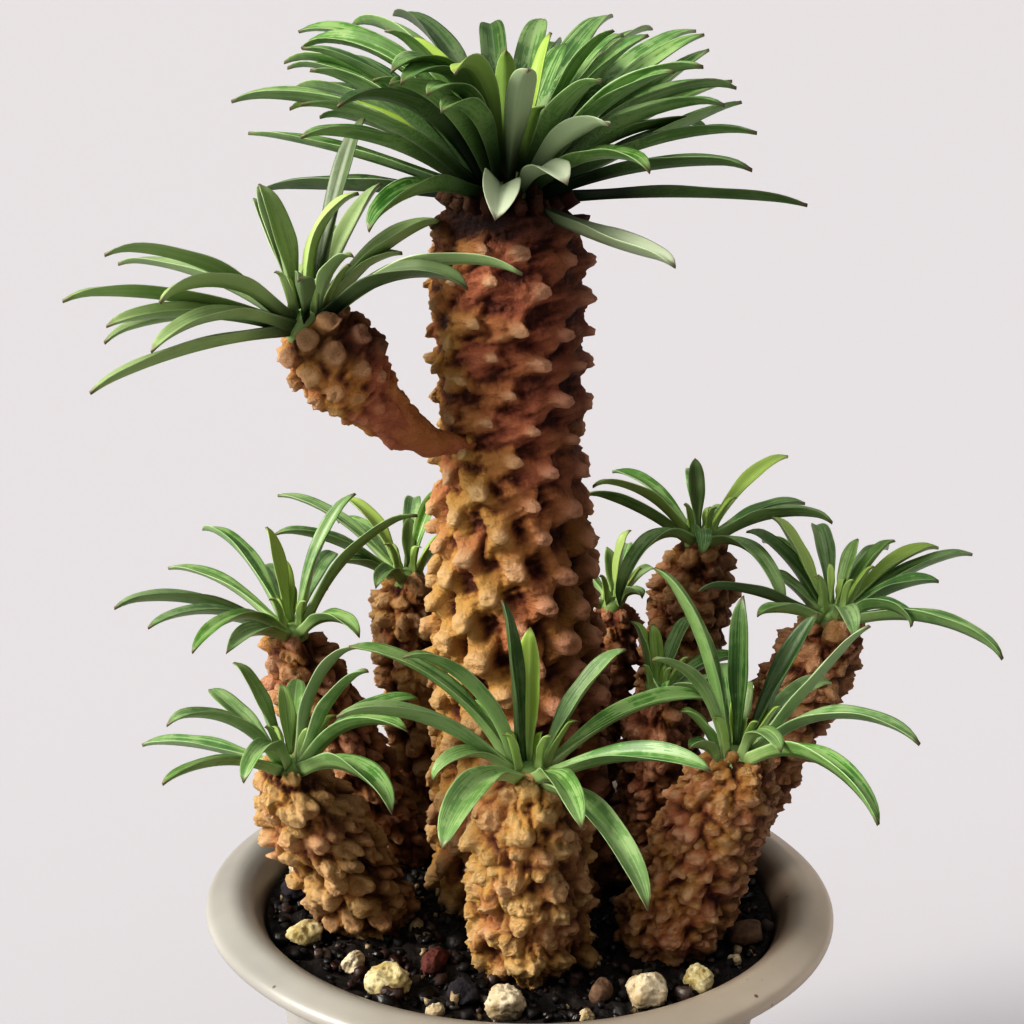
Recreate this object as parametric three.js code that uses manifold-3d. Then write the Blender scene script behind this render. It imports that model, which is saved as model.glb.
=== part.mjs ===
// Potted euphorbia: a trunk covered with blunt tubercles, one side branch, nine offsets and their leaf
// rosettes, in gritty soil with loose stones, in a glazed pot with a wide rolled lip.
// Millimetres, +Z up. The pot's axis is Z and its foot stands on z = 0. The plant's front faces -Y.
import * as THREE from "three";
import { mergeVertices } from "three/addons/utils/BufferGeometryUtils.js";
import Module from "manifold-3d";

const wasm = await Module();
wasm.setup();

// Driving sizes
const RIM_Z = 100;
const POT = { rim: 73.5, crest: 67, body: 55.5, foot: 44, wall: 5, floor: 7, sides: 28 };
const SOIL_Z = 94;
const SOIL_R = 59.4;
const GAP = 0.35;
const STUB_DEPTH = 8;
const LEAF_MID = 1.25;
const LEAF_FOLD = 0.3;
const ROOT_SUNK = 3;
const BUD_SEAT = 1.8;

// Colours
const COLOURS = {
  glaze: 0xb9ada1,
  soil: 0x2a211c,
  bark: 0x9c6434,
  leaf: 0x3f7a38,
  cream: 0xd9c79a,
  yellow: 0xc9ad54,
  lava: 0x5a322a,
  black: 0x26202a,
  brown: 0x6d5240,
};

// Small tools

function material(colour, roughness) {
  return new THREE.MeshStandardMaterial({ color: colour, roughness, metalness: 0 });
}

// A repeatable number from -1 to 1 for a place (i, k) on the piece with this seed
function wobble(i, k, seed) {
  const s = Math.sin(i * 12.9898 + k * 78.233 + seed * 37.719) * 43758.5453;
  return 2 * (s - Math.floor(s)) - 1;
}

// A manifold solid from a three.js geometry
function solidOf(geometry) {
  const bare = new THREE.BufferGeometry();
  const flat = geometry.index ? geometry.toNonIndexed() : geometry;
  bare.setAttribute("position", flat.getAttribute("position"));
  const merged = mergeVertices(bare, 1e-3);
  const mesh = new wasm.Mesh({
    numProp: 3,
    vertProperties: new Float32Array(merged.attributes.position.array),
    triVerts: new Uint32Array(merged.index.array),
  });
  return new wasm.Manifold(mesh);
}

// A manifold solid from lists of points and triangles
function solidFrom(points, triangles) {
  const mesh = new wasm.Mesh({
    numProp: 3,
    vertProperties: new Float32Array(points.flatMap((p) => [p.x, p.y, p.z])),
    triVerts: new Uint32Array(triangles.flat()),
  });
  return new wasm.Manifold(mesh);
}

// The largest outer shell: loose scraps and sealed hollows are dropped
function oneBody(solid) {
  const bodies = solid.decompose();
  return bodies.reduce((best, b) => (b.volume() > best.volume() ? b : best));
}

function meshOf(name, solid, mat) {
  const made = solid.getMesh();
  const corners = new Float32Array(made.numVert * 3);
  for (let i = 0; i < made.numVert; i++) {
    corners.set(made.vertProperties.subarray(i * made.numProp, i * made.numProp + 3), i * 3);
  }
  const geometry = new THREE.BufferGeometry();
  geometry.setAttribute("position", new THREE.BufferAttribute(corners, 3));
  geometry.setIndex(new THREE.BufferAttribute(new Uint32Array(made.triVerts), 1));
  geometry.computeVertexNormals();
  const mesh = new THREE.Mesh(geometry, mat);
  mesh.name = name;
  return mesh;
}

// A shape turned about Z from [radius, height] corners that run up the outside from axis to axis
function turned(profile, sides) {
  const corners = profile.map(([r, z]) => new THREE.Vector2(r, z));
  return new THREE.LatheGeometry(corners, sides).rotateX(Math.PI / 2);
}

// An arc of [radius, height] corners about (r, z), from one angle to another in degrees
function arc(r, z, size, from, to, steps) {
  const corners = [];
  for (let i = 0; i <= steps; i++) {
    const a = THREE.MathUtils.degToRad(from + ((to - from) * i) / steps);
    corners.push([r + size * Math.cos(a), z + size * Math.sin(a)]);
  }
  return corners;
}

// Pot: flat foot, rounded body, narrow waist, wide rolled lip

function potInside() {
  return [
    [POT.crest - 4.2, RIM_Z - 1.6],
    [POT.crest - 6.6, RIM_Z - 5],
    [SOIL_R + GAP, SOIL_Z - 3],
    [POT.body - POT.wall + 2, RIM_Z - 22],
    [POT.foot, POT.floor + 10],
    [POT.foot - 6, POT.floor],
  ];
}

function pot() {
  const lip = arc(POT.crest, RIM_Z - 5, 5, 120, 75, 2);
  const edge = arc(POT.rim - 1.8, RIM_Z - 3.4, 1.8, 60, -100, 3);
  const outside = [
    [POT.rim - 6, RIM_Z - 7],
    [POT.body + 6, RIM_Z - 13],
    [POT.body + 1.5, RIM_Z - 20],
    [POT.body, RIM_Z - 30],
    [POT.body - 1, RIM_Z - 52],
    [POT.body - 5, RIM_Z - 80],
    [POT.foot + 1.5, 3],
    [POT.foot, 0],
    [0, 0],
  ];
  const profile = [[0, POT.floor], ...potInside().reverse(), ...lip, ...edge, ...outside];
  let body = solidOf(turned(profile.reverse(), POT.sides));
  for (let i = 0; i < 3; i++) {
    const a = (i * 2 * Math.PI) / 3 + Math.PI / 2;
    const drain = new THREE.CylinderGeometry(4.5, 4.5, 20, 12).rotateX(Math.PI / 2);
    body = body.subtract(solidOf(drain.translate(22 * Math.cos(a), 22 * Math.sin(a), POT.floor / 2)));
  }
  return body;
}

// Stems: rings of pits with a blunt tubercle standing in each diamond between four pits

// One point on a ring: centre, ring axes and angle
function onRing(ring, angle, radius) {
  return ring.centre
    .clone()
    .addScaledVector(ring.across, radius * Math.cos(angle))
    .addScaledVector(ring.along, radius * Math.sin(angle));
}

// Rings up a straight leaning stem, held level, with its radius at each height
function levelRings(stem) {
  const foot = new THREE.Vector3(...stem.foot);
  const top = new THREE.Vector3(...stem.top);
  const count = Math.max(4, Math.round(foot.distanceTo(top) / stem.step));
  const rings = [];
  for (let k = 0; k <= count; k++) {
    const s = k / count;
    const shoulder = Math.max(0, s * count - count + 2) / 2;
    rings.push({
      centre: foot.clone().lerp(top, s),
      across: new THREE.Vector3(1, 0, 0),
      along: new THREE.Vector3(0, 1, 0),
      radius: between(stem.radii, s) - stem.shoulder * shoulder ** 2,
    });
  }
  return rings;
}

// The value at a share s of the way through a list of [share, value] rows
function between(rows, s) {
  const next = Math.max(1, rows.findIndex(([at]) => at >= s));
  const [a, low] = rows[next - 1];
  const [b, high] = rows[next];
  return THREE.MathUtils.lerp(low, high, (s - a) / (b - a));
}

// The corner points of a knob on the tip of one tubercle
function knob(ring, angle, k, i, stem) {
  const tall = stem.tall * (1 + 0.3 * wobble(i, k, stem.seed));
  const turn = angle + (stem.sweep ?? 0) + (0.7 / stem.around) * wobble(k, i, stem.seed + 3);
  const tip = onRing(ring, turn, ring.radius + tall);
  const up = ring.across.clone().cross(ring.along);
  const side = ring.across.clone().multiplyScalar(-Math.sin(turn)).addScaledVector(ring.along, Math.cos(turn));
  tip.addScaledVector(up, stem.droop * (0.7 + 0.5 * wobble(i + 9, k, stem.seed)));
  const lean = stem.corners === 2 ? wobble(i, k + 5, stem.seed) : Math.PI / 4;
  const points = [];
  for (let c = 0; c < stem.corners; c++) {
    const a = lean + (2 * Math.PI * c) / stem.corners;
    const point = tip.clone().addScaledVector(side, stem.knob * Math.cos(a));
    points.push(point.addScaledVector(up, stem.knob * Math.sin(a)));
  }
  return points;
}

// A stem from its rings: n tubercles on each ring, staggered from ring to ring
function tubercled(rings, stem) {
  const n = stem.around;
  const points = [];
  const triangles = [];
  const pitAt = new Map();
  const key = (i, k) => k * 2 * n + ((i + 2 * n) % (2 * n));
  const angleOf = (i, k) => (Math.PI * i) / n + stem.twist * k;
  rings.forEach((ring, k) => {
    for (let i = 0; i < 2 * n; i++) {
      if ((i + k) % 2 === 0) continue;
      const deep = ring.radius * (1 + 0.04 * wobble(i, k, stem.seed + 1));
      pitAt.set(key(i, k), points.length);
      points.push(onRing(ring, angleOf(i, k) + (0.5 / n) * wobble(i, k, stem.seed + 2), deep));
    }
  });
  const pit = (i, k) => pitAt.get(key(i, k));
  const last = rings.length - 1;
  for (let k = 0; k <= last; k++) {
    for (let i = 0; i < 2 * n; i++) {
      if ((i + k) % 2 !== 0) continue;
      if (k === 0) {
        triangles.push([pit(i - 1, k), pit(i + 1, k), pit(i, k + 1)]);
        continue;
      }
      if (k === last) {
        triangles.push([pit(i + 1, k), pit(i - 1, k), pit(i, k - 1)]);
        continue;
      }
      const around = [pit(i + 1, k), pit(i, k + 1), pit(i - 1, k), pit(i, k - 1)];
      const first = points.length;
      points.push(...knob(rings[k], angleOf(i, k), k, i, stem));
      knobFaces(triangles, around, first, stem.corners, points);
    }
  }
  capRing(points, triangles, rings[0], pit, n, 0, stem, false);
  capRing(points, triangles, rings[last], pit, n, last, stem, true);
  return solidFrom(points, triangles);
}

// The faces from the four pits round a tubercle to its knob, and the knob's flat end
function knobFaces(triangles, around, first, corners, points) {
  if (corners === 4) {
    for (let c = 0; c < 4; c++) {
      const d = (c + 1) % 4;
      triangles.push([around[c], around[d], first + c], [around[d], first + d, first + c]);
    }
    triangles.push([first, first + 1, first + 2], [first, first + 2, first + 3]);
    return;
  }
  const near = (a, b) => points[a].distanceTo(points[b]);
  const swap = near(around[0], first) + near(around[2], first + 1) > near(around[0], first + 1) + near(around[2], first);
  const east = swap ? first + 1 : first;
  const west = swap ? first : first + 1;
  triangles.push([around[0], around[1], east], [around[3], around[0], east]);
  triangles.push([around[1], around[2], west], [around[2], around[3], west]);
  triangles.push([around[1], west, east], [around[3], east, west]);
}

// Closes a stem's end: a flat top, or a plain stub that stands in the soil
function capRing(points, triangles, ring, pit, n, k, stem, top) {
  const rim = [];
  for (let i = 0; i < 2 * n; i++) {
    if ((i + k) % 2 !== 0) rim.push(pit(i, k));
  }
  const fan = (loop, centre, up) => {
    loop.forEach((a, j) => {
      const b = loop[(j + 1) % loop.length];
      triangles.push(up ? [a, b, centre] : [b, a, centre]);
    });
  };
  let loop = rim;
  let centre = ring.centre.clone();
  if (!top && stem.stub) {
    const down = new THREE.Vector3(0, 0, -stem.stub);
    const start = points.length;
    rim.forEach((r) => points.push(points[r].clone().add(down)));
    loop = rim.map((_, j) => start + j);
    rim.forEach((a, j) => {
      const b = rim[(j + 1) % n];
      const c = loop[(j + 1) % n];
      triangles.push([b, a, loop[j]], [b, loop[j], c]);
    });
    centre.add(down);
  }
  points.push(centre);
  fan(loop, points.length - 1, top);
}

// A plain post that stands where a stem's stub does, used to cut its hole in the soil
function stubHole(stem) {
  const deep = stem.stub + 8;
  const sides = 12;
  const wide = (stem.radii[0][1] * 1.04 + GAP) / Math.cos(Math.PI / sides);
  const post = new THREE.CylinderGeometry(wide, wide, deep, sides).rotateX(Math.PI / 2);
  return solidOf(post.translate(stem.foot[0], stem.foot[1], stem.foot[2] + 8 - deep / 2 - GAP));
}

// Leaves: a narrow root that widens past the middle to a pointed tip, folded along the midrib

// Shares of the length, and the leaf's width there as a share of its widest
const LEAF_WIDTH = [
  [0, 0.24],
  [0.35, 0.62],
  [0.7, 1],
];
const NEAR_TIP = [0.88, 0.72];

// The points down a leaf's midrib, bending by droop degrees along its length
function midrib(root, leaf, steps) {
  const points = [root.clone()];
  const at = root.clone();
  for (let j = 0; j < steps; j++) {
    const s = (j + 0.5) / steps;
    at.addScaledVector(heading(leaf, s), leaf.length / steps);
    points.push(at.clone());
  }
  return points;
}

// A leaf's direction at a share s of its length
function heading(leaf, s) {
  const rise = THREE.MathUtils.degToRad(leaf.rise - leaf.droop * s ** 1.3);
  const turn = THREE.MathUtils.degToRad(leaf.turn);
  return new THREE.Vector3(
    Math.cos(rise) * Math.cos(turn),
    Math.cos(rise) * Math.sin(turn),
    Math.sin(rise),
  );
}

// Where a leaf leaves its growing tip: steep leaves near the top, flat ones low on the side
function leafRoot(centre, bud, leaf) {
  const turn = THREE.MathUtils.degToRad(leaf.turn);
  const place = THREE.MathUtils.degToRad(leaf.rise * 0.8);
  const root = new THREE.Vector3(Math.cos(turn), Math.sin(turn), 0).multiplyScalar(bud.wide * Math.cos(place));
  root.z = bud.tall * Math.sin(place);
  return root.add(centre);
}

function leafBlade(centre, bud, leaf) {
  const turn = THREE.MathUtils.degToRad(leaf.turn);
  const root = leafRoot(centre, bud, leaf);
  const rib = midrib(root, leaf, 24);
  const flat = new THREE.Vector3(-Math.sin(turn), Math.cos(turn), 0);
  const points = [];
  const triangles = [];
  const stations = bud.fine ? [...LEAF_WIDTH, NEAR_TIP] : LEAF_WIDTH;
  stations.forEach(([s, share], j) => {
    const way = heading(leaf, s);
    const side = flat.clone().applyAxisAngle(way, THREE.MathUtils.degToRad(leaf.roll));
    const up = way.clone().cross(side);
    const at = j === 0 ? root.clone().addScaledVector(way, -ROOT_SUNK) : rib[Math.round(s * 24)].clone();
    const half = (leaf.width / 2) * share;
    const mid = LEAF_MID * (j === 0 ? 1.2 : 1);
    points.push(
      at.clone().addScaledVector(side, half).addScaledVector(up, LEAF_FOLD * half),
      at.clone().addScaledVector(up, mid * 0.4),
      at.clone().addScaledVector(side, -half).addScaledVector(up, LEAF_FOLD * half),
      at.clone().addScaledVector(up, -mid * 0.6),
    );
  });
  const rows = stations.length;
  points.push(rib[24].clone());
  for (let j = 0; j < rows - 1; j++) {
    for (let c = 0; c < 4; c++) {
      const a = j * 4 + c;
      const b = j * 4 + ((c + 1) % 4);
      if (c % 2) triangles.push([a, b, a + 4], [b, b + 4, a + 4]);
      else triangles.push([a, b + 4, a + 4], [a, b, b + 4]);
    }
  }
  for (let c = 0; c < 4; c++) {
    triangles.push([(rows - 1) * 4 + c, (rows - 1) * 4 + ((c + 1) % 4), rows * 4]);
  }
  triangles.push([0, 2, 1], [0, 3, 2]);
  return solidFrom(points, triangles);
}

// A small green growing tip that stands on its stem and that the leaves of one rosette grow from
function growingTip(bud, centre, way) {
  const profile = [
    [0, -BUD_SEAT],
    [0.85 * bud.wide, -BUD_SEAT],
    [1.05 * bud.wide, 0],
    [0, bud.tall],
  ];
  const upright = new THREE.Vector3(0, 0, 1);
  const tip = turned(profile, 8).applyQuaternion(new THREE.Quaternion().setFromUnitVectors(upright, way));
  return solidOf(tip.translate(centre.x, centre.y, centre.z));
}

// A rosette on a stem's top: its growing tip and its leaves, joined
function rosette(top, way, bud, leaves, seed) {
  const centre = top.clone().addScaledVector(way, BUD_SEAT + GAP);
  const blades = leaves.map(([turn, rise, droop, length, width], j) =>
    leafBlade(centre, bud, { turn, rise, droop, length, width, roll: 12 * wobble(j, 1, seed) }),
  );
  return oneBody(wasm.Manifold.union([growingTip(bud, centre, way), ...blades]));
}

// Soil: fills the pot, rough on top, with plain holes for the stems and seats for the stones

function roughness(x, y) {
  const coarse = Math.sin(0.41 * x + 1.3) * Math.cos(0.37 * y - 0.4);
  const fine = Math.sin(0.93 * x - 0.71 * y + 2.1) * Math.cos(0.66 * x + 0.88 * y);
  return 0.7 * coarse + 0.5 * fine;
}

function soil(stems, stones) {
  const top = [0, 17, 32, 44, 53].map((r) => [r, SOIL_Z + 1.2 * (1 - r / 53)]);
  const wall = potInside().slice(2).map(([r, z]) => [r - GAP, z]);
  wall[wall.length - 1][1] += GAP;
  wall.push([0, POT.floor + GAP]);
  const lathe = turned([...top, [SOIL_R, SOIL_Z - 0.4], ...wall].reverse(), POT.sides);
  const place = lathe.getAttribute("position");
  for (let i = 0; i < place.count; i++) {
    const r = Math.hypot(place.getX(i), place.getY(i));
    if (place.getZ(i) < SOIL_Z || r < 1) continue;
    place.setZ(i, place.getZ(i) + roughness(place.getX(i), place.getY(i)));
  }
  const cuts = [...stems.filter((s) => s.stub).map(stubHole), ...stones.map((s) => stone(s, GAP))];
  return oneBody(solidOf(lathe).subtract(wasm.Manifold.union(cuts)));
}

// Stones: uneven lumps, each with its length, width and height, turned about Z

function stone(lump, grow) {
  const small = lump.size[0] < 7;
  const geometry = small ? new THREE.IcosahedronGeometry(1, 0) : new THREE.DodecahedronGeometry(1, 0);
  const place = geometry.getAttribute("position");
  const p = new THREE.Vector3();
  for (let i = 0; i < place.count; i++) {
    p.fromBufferAttribute(place, i);
    p.multiplyScalar(1 + 0.13 * wobble(Math.round(p.x * 50), Math.round(p.y * 50 + p.z * 90), lump.seed));
    place.setXYZ(i, p.x, p.y, p.z);
  }
  const [long, wide, tall] = lump.size.map((s) => s / 2 + grow);
  geometry.scale(long, wide, tall);
  geometry.rotateZ(THREE.MathUtils.degToRad(lump.turn));
  geometry.translate(lump.at[0], lump.at[1], SOIL_Z + lump.size[2] * 0.28);
  return solidOf(geometry);
}

// The trunk's side branch: a smooth horn from the trunk's side to a knobbly head

const BRANCH = {
  route: [
    [-9, -1, 207],
    [-28, -9, 204],
    [-34, -12, 219],
    [-46.5, -13.5, 232.5],
  ],
  neck: 2.8,
  head: 7.8,
  smooth: 0.45,
  around: 8,
  rings: 6,
  tall: 2.6,
  knob: 1.4,
  corners: 4,
  droop: -0.6,
  twist: 0.12,
  bud: { wide: 5.5, tall: 4.5, fine: true },
  seed: 11,
};

function branchCurve() {
  return new THREE.CubicBezierCurve3(...BRANCH.route.map((p) => new THREE.Vector3(...p)));
}

function branchRing(curve, s, radius) {
  const way = curve.getTangent(s);
  const across = new THREE.Vector3(0, 1, 0).cross(way).normalize();
  return { centre: curve.getPoint(s), across, along: way.clone().cross(across), radius };
}

function branch() {
  const curve = branchCurve();
  const ends = BRANCH.smooth;
  const radius = (s) => BRANCH.neck + (BRANCH.head - BRANCH.neck) * Math.min(1, (s / 0.78) ** 1.8);
  const neck = [0, 0.14, 0.28, ends].map((s) => branchRing(curve, s, radius(s)));
  neck.push(branchRing(curve, ends + 0.12, radius(ends) - 1));
  const head = [];
  for (let k = 0; k <= BRANCH.rings; k++) {
    const s = ends + ((1 - ends) * k) / BRANCH.rings;
    const shoulder = k === BRANCH.rings ? 2 : 0;
    head.push(branchRing(curve, s, radius(s) - shoulder));
  }
  return wasm.Manifold.union([horn(neck), tubercled(head, BRANCH)]);
}

// A smooth tube through a list of rings
function horn(rings) {
  const sides = 10;
  const points = [];
  const triangles = [];
  rings.forEach((ring) => {
    for (let i = 0; i < sides; i++) points.push(onRing(ring, (2 * Math.PI * i) / sides, ring.radius));
  });
  const last = (rings.length - 1) * sides;
  for (let k = 0; k < last; k += sides) {
    for (let i = 0; i < sides; i++) {
      const a = k + i;
      const b = k + ((i + 1) % sides);
      triangles.push([a, b, b + sides], [a, b + sides, a + sides]);
    }
  }
  for (let i = 1; i < sides - 1; i++) {
    triangles.push([0, i + 1, i], [last, last + i, last + i + 1]);
  }
  return solidFrom(points, triangles);
}

// The plant: each stem's foot and top, its radius between tubercles, and the size of the tubercles

const TRUNK = {
  foot: [0, 8, 95.5],
  top: [-6, 8, 257.5],
  radii: [
    [0, 18.2],
    [0.22, 17],
    [0.5, 15.4],
    [0.67, 14.3],
    [0.87, 16],
    [1, 15.5],
  ],
  bud: { wide: 11, tall: 8, fine: true },
  shoulder: 3,
  step: 7.9,
  around: 10,
  tall: 4.4,
  knob: 1.9,
  corners: 4,
  droop: -1.2,
  sweep: 0.1,
  twist: 0.05,
  stub: STUB_DEPTH,
  seed: 1,
};

const OFFSET = {
  shoulder: 3,
  step: 6.3,
  around: 8,
  tall: 2.9,
  knob: 1.6,
  corners: 2,
  droop: -0.8,
  sweep: 0.05,
  twist: 0.1,
  stub: STUB_DEPTH,
};

// The offsets: foot, top, radius between tubercles low down and high up, growing tip
const OFFSETS = {
  a: { foot: [-31, 23, 95.5], top: [-55.5, 20, 151], radii: [[0, 7.5], [1, 7.5]], bud: { wide: 4.5, tall: 4 } },
  b: { foot: [-34, -11, 95.5], top: [-51, -22, 134], radii: [[0, 9.5], [1, 9]], bud: { wide: 5, tall: 4.5 } },
  c: { foot: [2, -29, 95.5], top: [1, -38, 140], radii: [[0, 11.5], [1, 10.5]], bud: { wide: 5.5, tall: 4.5 } },
  d: { foot: [33, -19, 95.5], top: [46.5, -22, 138], radii: [[0, 11], [1, 10]], bud: { wide: 5.5, tall: 4.5 } },
  e: { foot: [44, 17, 95.5], top: [72.5, 15, 159], radii: [[0, 8], [1, 8]], bud: { wide: 5, tall: 4.5 } },
  f: { foot: [32, 34, 95.5], top: [43, 41, 170], radii: [[0, 7.5], [1, 7.5]], bud: { wide: 4.5, tall: 4 } },
  g: { foot: [14, 42, 95.5], top: [22.5, 48, 150.5], radii: [[0, 6], [1, 6]], bud: { wide: 3.5, tall: 3.5 } },
  h: { foot: [-21, 40, 95.5], top: [-29.5, 42, 158.5], radii: [[0, 7.5], [1, 7.5]], bud: { wide: 4.5, tall: 4 } },
  j: { foot: [32, 6, 95.5], top: [31, 3, 143], radii: [[0, 6.5], [1, 6]], bud: { wide: 3.5, tall: 3.5 } },
};

// Leaves of each rosette: turn about Z, rise, droop along the leaf (degrees), length, width
const LEAVES = {
  crown: [
    [165, 35, 45, 59, 6.5], [155, 14, 11, 58, 6.5], [150, 0, 5, 55, 6.5], [145, 45, 51, 61, 7], [149, 43, 45, 57, 7],
    [140, 32, 33, 59, 7], [225, 34, 30, 53, 6.5], [235, 44, 55, 55, 6.5], [140, 53, 60, 66, 6.5],
    [146, 57, 70, 60, 6.5], [131, 58, 63, 62, 7], [118, 56, 52, 61, 7], [97, 54, 53, 61, 7], [83, 49, 38, 61, 7],
    [79, 45, 40, 60, 6.5], [70, 45, 25, 61, 7], [65, 48, 30, 60, 7], [55, 49, 45, 64, 6.5], [45, 44, 30, 62, 7],
    [31, 45, 20, 52, 7], [40, 29, 0, 58, 7], [33, 29, 16, 57, 7], [24, 21, 0, 51, 7], [325, 19, 20, 51, 6],
    [0, 4, 10, 55, 6], [311, -8, 8, 42, 6.5], [267, 18, 50, 30, 9], [290, 30, 47, 25, 8], [300, 39, 28, 34, 7.5],
    [275, 51, 32, 41, 6.5], [245, 67, 92, 49, 6.5], [251, 59, 73, 44, 6.5], [255, 50, 60, 42, 6.5],
    [239, 67, 84, 49, 6.5], [257, 67, 82, 47, 6.5], [235, 15, 47, 40, 7], [320, 48, 30, 43, 7], [38, 67, 43, 40, 6.5],
  ],
  branch: [
    [212, 20, 21, 49, 6.5], [220, 15, 20, 43, 6], [215, 40, 40, 45, 8], [230, 39, 61, 37, 6], [215, 16, 35, 41, 6],
    [235, 20, 45, 42, 6], [225, 0, 18, 49, 7], [145, 74, 5, 27, 8], [125, 59, 17, 31, 7], [20, 97, 72, 28, 7],
    [50, 74, 15, 43, 7], [60, 55, 15, 34, 6], [25, 50, 33, 33, 8], [330, 40, 55, 39, 7.5], [340, 40, 56, 48, 7.5],
    [19, 57, 52, 22, 6], [325, 72, 42, 17, 5.5], [275, 55, 43, 18, 6], [120, 54, 20, 31, 7],
    [80, 40, 40, 38, 7], [100, 20, 35, 42, 7], [155, 25, 30, 44, 7],
  ],
  a: [
    [210, 35, 40, 43, 7], [225, 35, 45, 41, 7], [145, 30, 40, 38, 6.5], [130, 45, 55, 43, 7], [140, 80, 15, 23, 6],
    [110, 75, 15, 15, 5], [30, 80, 35, 34, 6], [345, 65, 40, 42, 6.5], [245, 40, 70, 39, 6.5], [255, 25, 25, 40, 6.5],
    [205, 30, 20, 14, 6], [80, 35, 45, 34, 7], [310, 40, 60, 26, 6.5], [110, 25, 40, 36, 7],
  ],
  b: [
    [160, 70, 15, 23, 6.5], [140, 30, 15, 26, 7], [225, 55, 55, 36, 7], [160, 10, 25, 34, 6.5], [235, 30, 35, 38, 7],
    [255, 55, 100, 26, 6.5], [305, 30, 50, 41, 9], [335, 85, 50, 33, 7.5], [320, 65, 30, 35, 7], [315, 50, 50, 39, 7],
    [95, 45, 35, 22, 7], [20, 45, 45, 28, 7], [120, 80, 10, 15, 5.5],
  ],
  c: [
    [150, 85, 5, 35, 7], [90, 85, 5, 28, 7.5], [185, 60, 50, 45, 7.5], [210, 70, 50, 41, 7], [205, 45, 45, 44, 7.5],
    [205, 47, 103, 21, 6.5], [246, 29, 60, 43, 10], [285, 30, 50, 36, 8], [295, 15, 50, 51, 10], [330, 30, 35, 39, 8],
    [25, 35, 50, 42, 7.5], [20, 65, 25, 30, 7], [90, 50, 40, 18, 6], [130, 45, 45, 20, 6.5],
  ],
  d: [
    [325, 50, 75, 44, 8], [300, 35, 75, 46, 8], [60, 90, 5, 33, 7], [20, 65, 5, 33, 7.5], [335, 55, 0, 41, 8],
    [65, 70, 15, 14, 5.5], [160, 80, 30, 43, 7], [220, 70, 50, 37, 7], [209, 43, 45, 9, 6], [290, 62, 90, 21, 6.5],
    [195, 60, 25, 14, 6], [95, 50, 45, 24, 7], [40, 40, 50, 30, 7],
  ],
  e: [
    [325, 20, 50, 39, 7], [320, 40, 80, 19, 6.5], [350, 40, 35, 22, 6.5], [25, 30, 30, 37, 6.5], [30, 40, 40, 31, 6.5],
    [30, 60, 25, 20, 6.5], [50, 70, 15, 16, 6], [140, 60, 15, 24, 6.5], [156, 57, 34, 25, 6.5], [170, 45, 20, 14, 6],
    [203, 29, 25, 33, 6.5], [220, 25, 25, 22, 6], [90, 45, 45, 30, 7], [60, 30, 40, 34, 7], [270, 35, 60, 24, 7],
    [115, 35, 40, 30, 7],
  ],
  f: [
    [210, 50, 45, 34, 6], [195, 35, 20, 28, 6], [100, 75, 5, 17, 6], [40, 45, 40, 33, 6.5], [340, 35, 45, 31, 6.5],
    [15, 30, 30, 25, 6], [235, 30, 105, 39, 6.5], [297, 24, 88, 36, 7], [55, 47, 28, 9, 5], [90, 35, 45, 32, 6.5],
    [130, 40, 45, 30, 6.5], [265, 40, 80, 20, 6.5],
  ],
  g: [
    [30, 90, 25, 17, 5.5], [50, 35, 30, 15, 5], [100, 75, 10, 12, 5], [80, 40, 45, 24, 6], [130, 40, 45, 24, 6],
    [300, 50, 60, 12, 5.5], [185, 20, 50, 12, 5],
  ],
  h: [
    [150, 40, 40, 39, 6], [200, 40, 35, 33, 6], [145, 60, 40, 23, 6], [55, 70, 20, 21, 6], [85, 75, 10, 12, 5.5],
    [210, 35, 30, 15, 5.5], [90, 40, 45, 32, 6.5], [50, 35, 45, 30, 6.5], [125, 30, 45, 32, 6.5], [250, 35, 60, 16, 6],
  ],
  j: [
    [20, 40, 50, 20, 6], [60, 55, 30, 20, 6], [100, 80, 10, 14, 5], [310, 40, 60, 16, 6], [270, 45, 50, 14, 5.5],
    [150, 80, 20, 16, 5.5], [345, 35, 45, 18, 6],
  ],
};

// The crown's inner leaves follow the golden angle, upright at the middle and lower further out
function innerLeaves(count, seed) {
  return Array.from({ length: count }, (_, j) => {
    const out = Math.sqrt((j + 0.5) / count);
    const rise = 86 - 46 * out + 6 * wobble(j, 2, seed);
    const length = 30 + 20 * out + 3 * wobble(j, 3, seed);
    return [j * 137.5, rise, 30 + 15 * out, length, 6.5];
  });
}

// Stones: [x, y], [length, width, height], turn about Z in degrees, colour
const STONES = [
  { at: [-54, 13], size: [5, 7.5, 6], turn: 10, colour: "cream" },
  { at: [-53, 2], size: [8, 8.5, 6], turn: 30, colour: "black" },
  { at: [-49, -21], size: [9, 7, 6.5], turn: 20, colour: "yellow" },
  { at: [-37, -33], size: [6.5, 5, 5], turn: 60, colour: "cream" },
  { at: [-28.5, -43], size: [10, 9, 8.5], turn: 0, colour: "yellow" },
  { at: [-19, -33], size: [6, 11, 6], turn: -20, colour: "lava" },
  { at: [-12, -46], size: [7.5, 9, 5.5], turn: 10, colour: "black" },
  { at: [-3, -51], size: [9.5, 8.5, 8], turn: 35, colour: "cream" },
  { at: [-18, -53], size: [4.5, 3.5, 4], turn: 0, colour: "cream" },
  { at: [17.5, -44], size: [5, 7.5, 6], turn: -15, colour: "brown" },
  { at: [14, -54], size: [4, 3.5, 3.5], turn: 40, colour: "cream" },
  { at: [27, -45], size: [9.5, 9.5, 9], turn: 15, colour: "cream" },
  { at: [39, -39], size: [7, 7.5, 7], turn: 50, colour: "yellow" },
  { at: [48, -28], size: [3.2, 3.2, 3.2], turn: 0, colour: "cream" },
  { at: [52, -17], size: [10.5, 7, 6], turn: 35, colour: "brown" },
];

// Assembly

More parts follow.
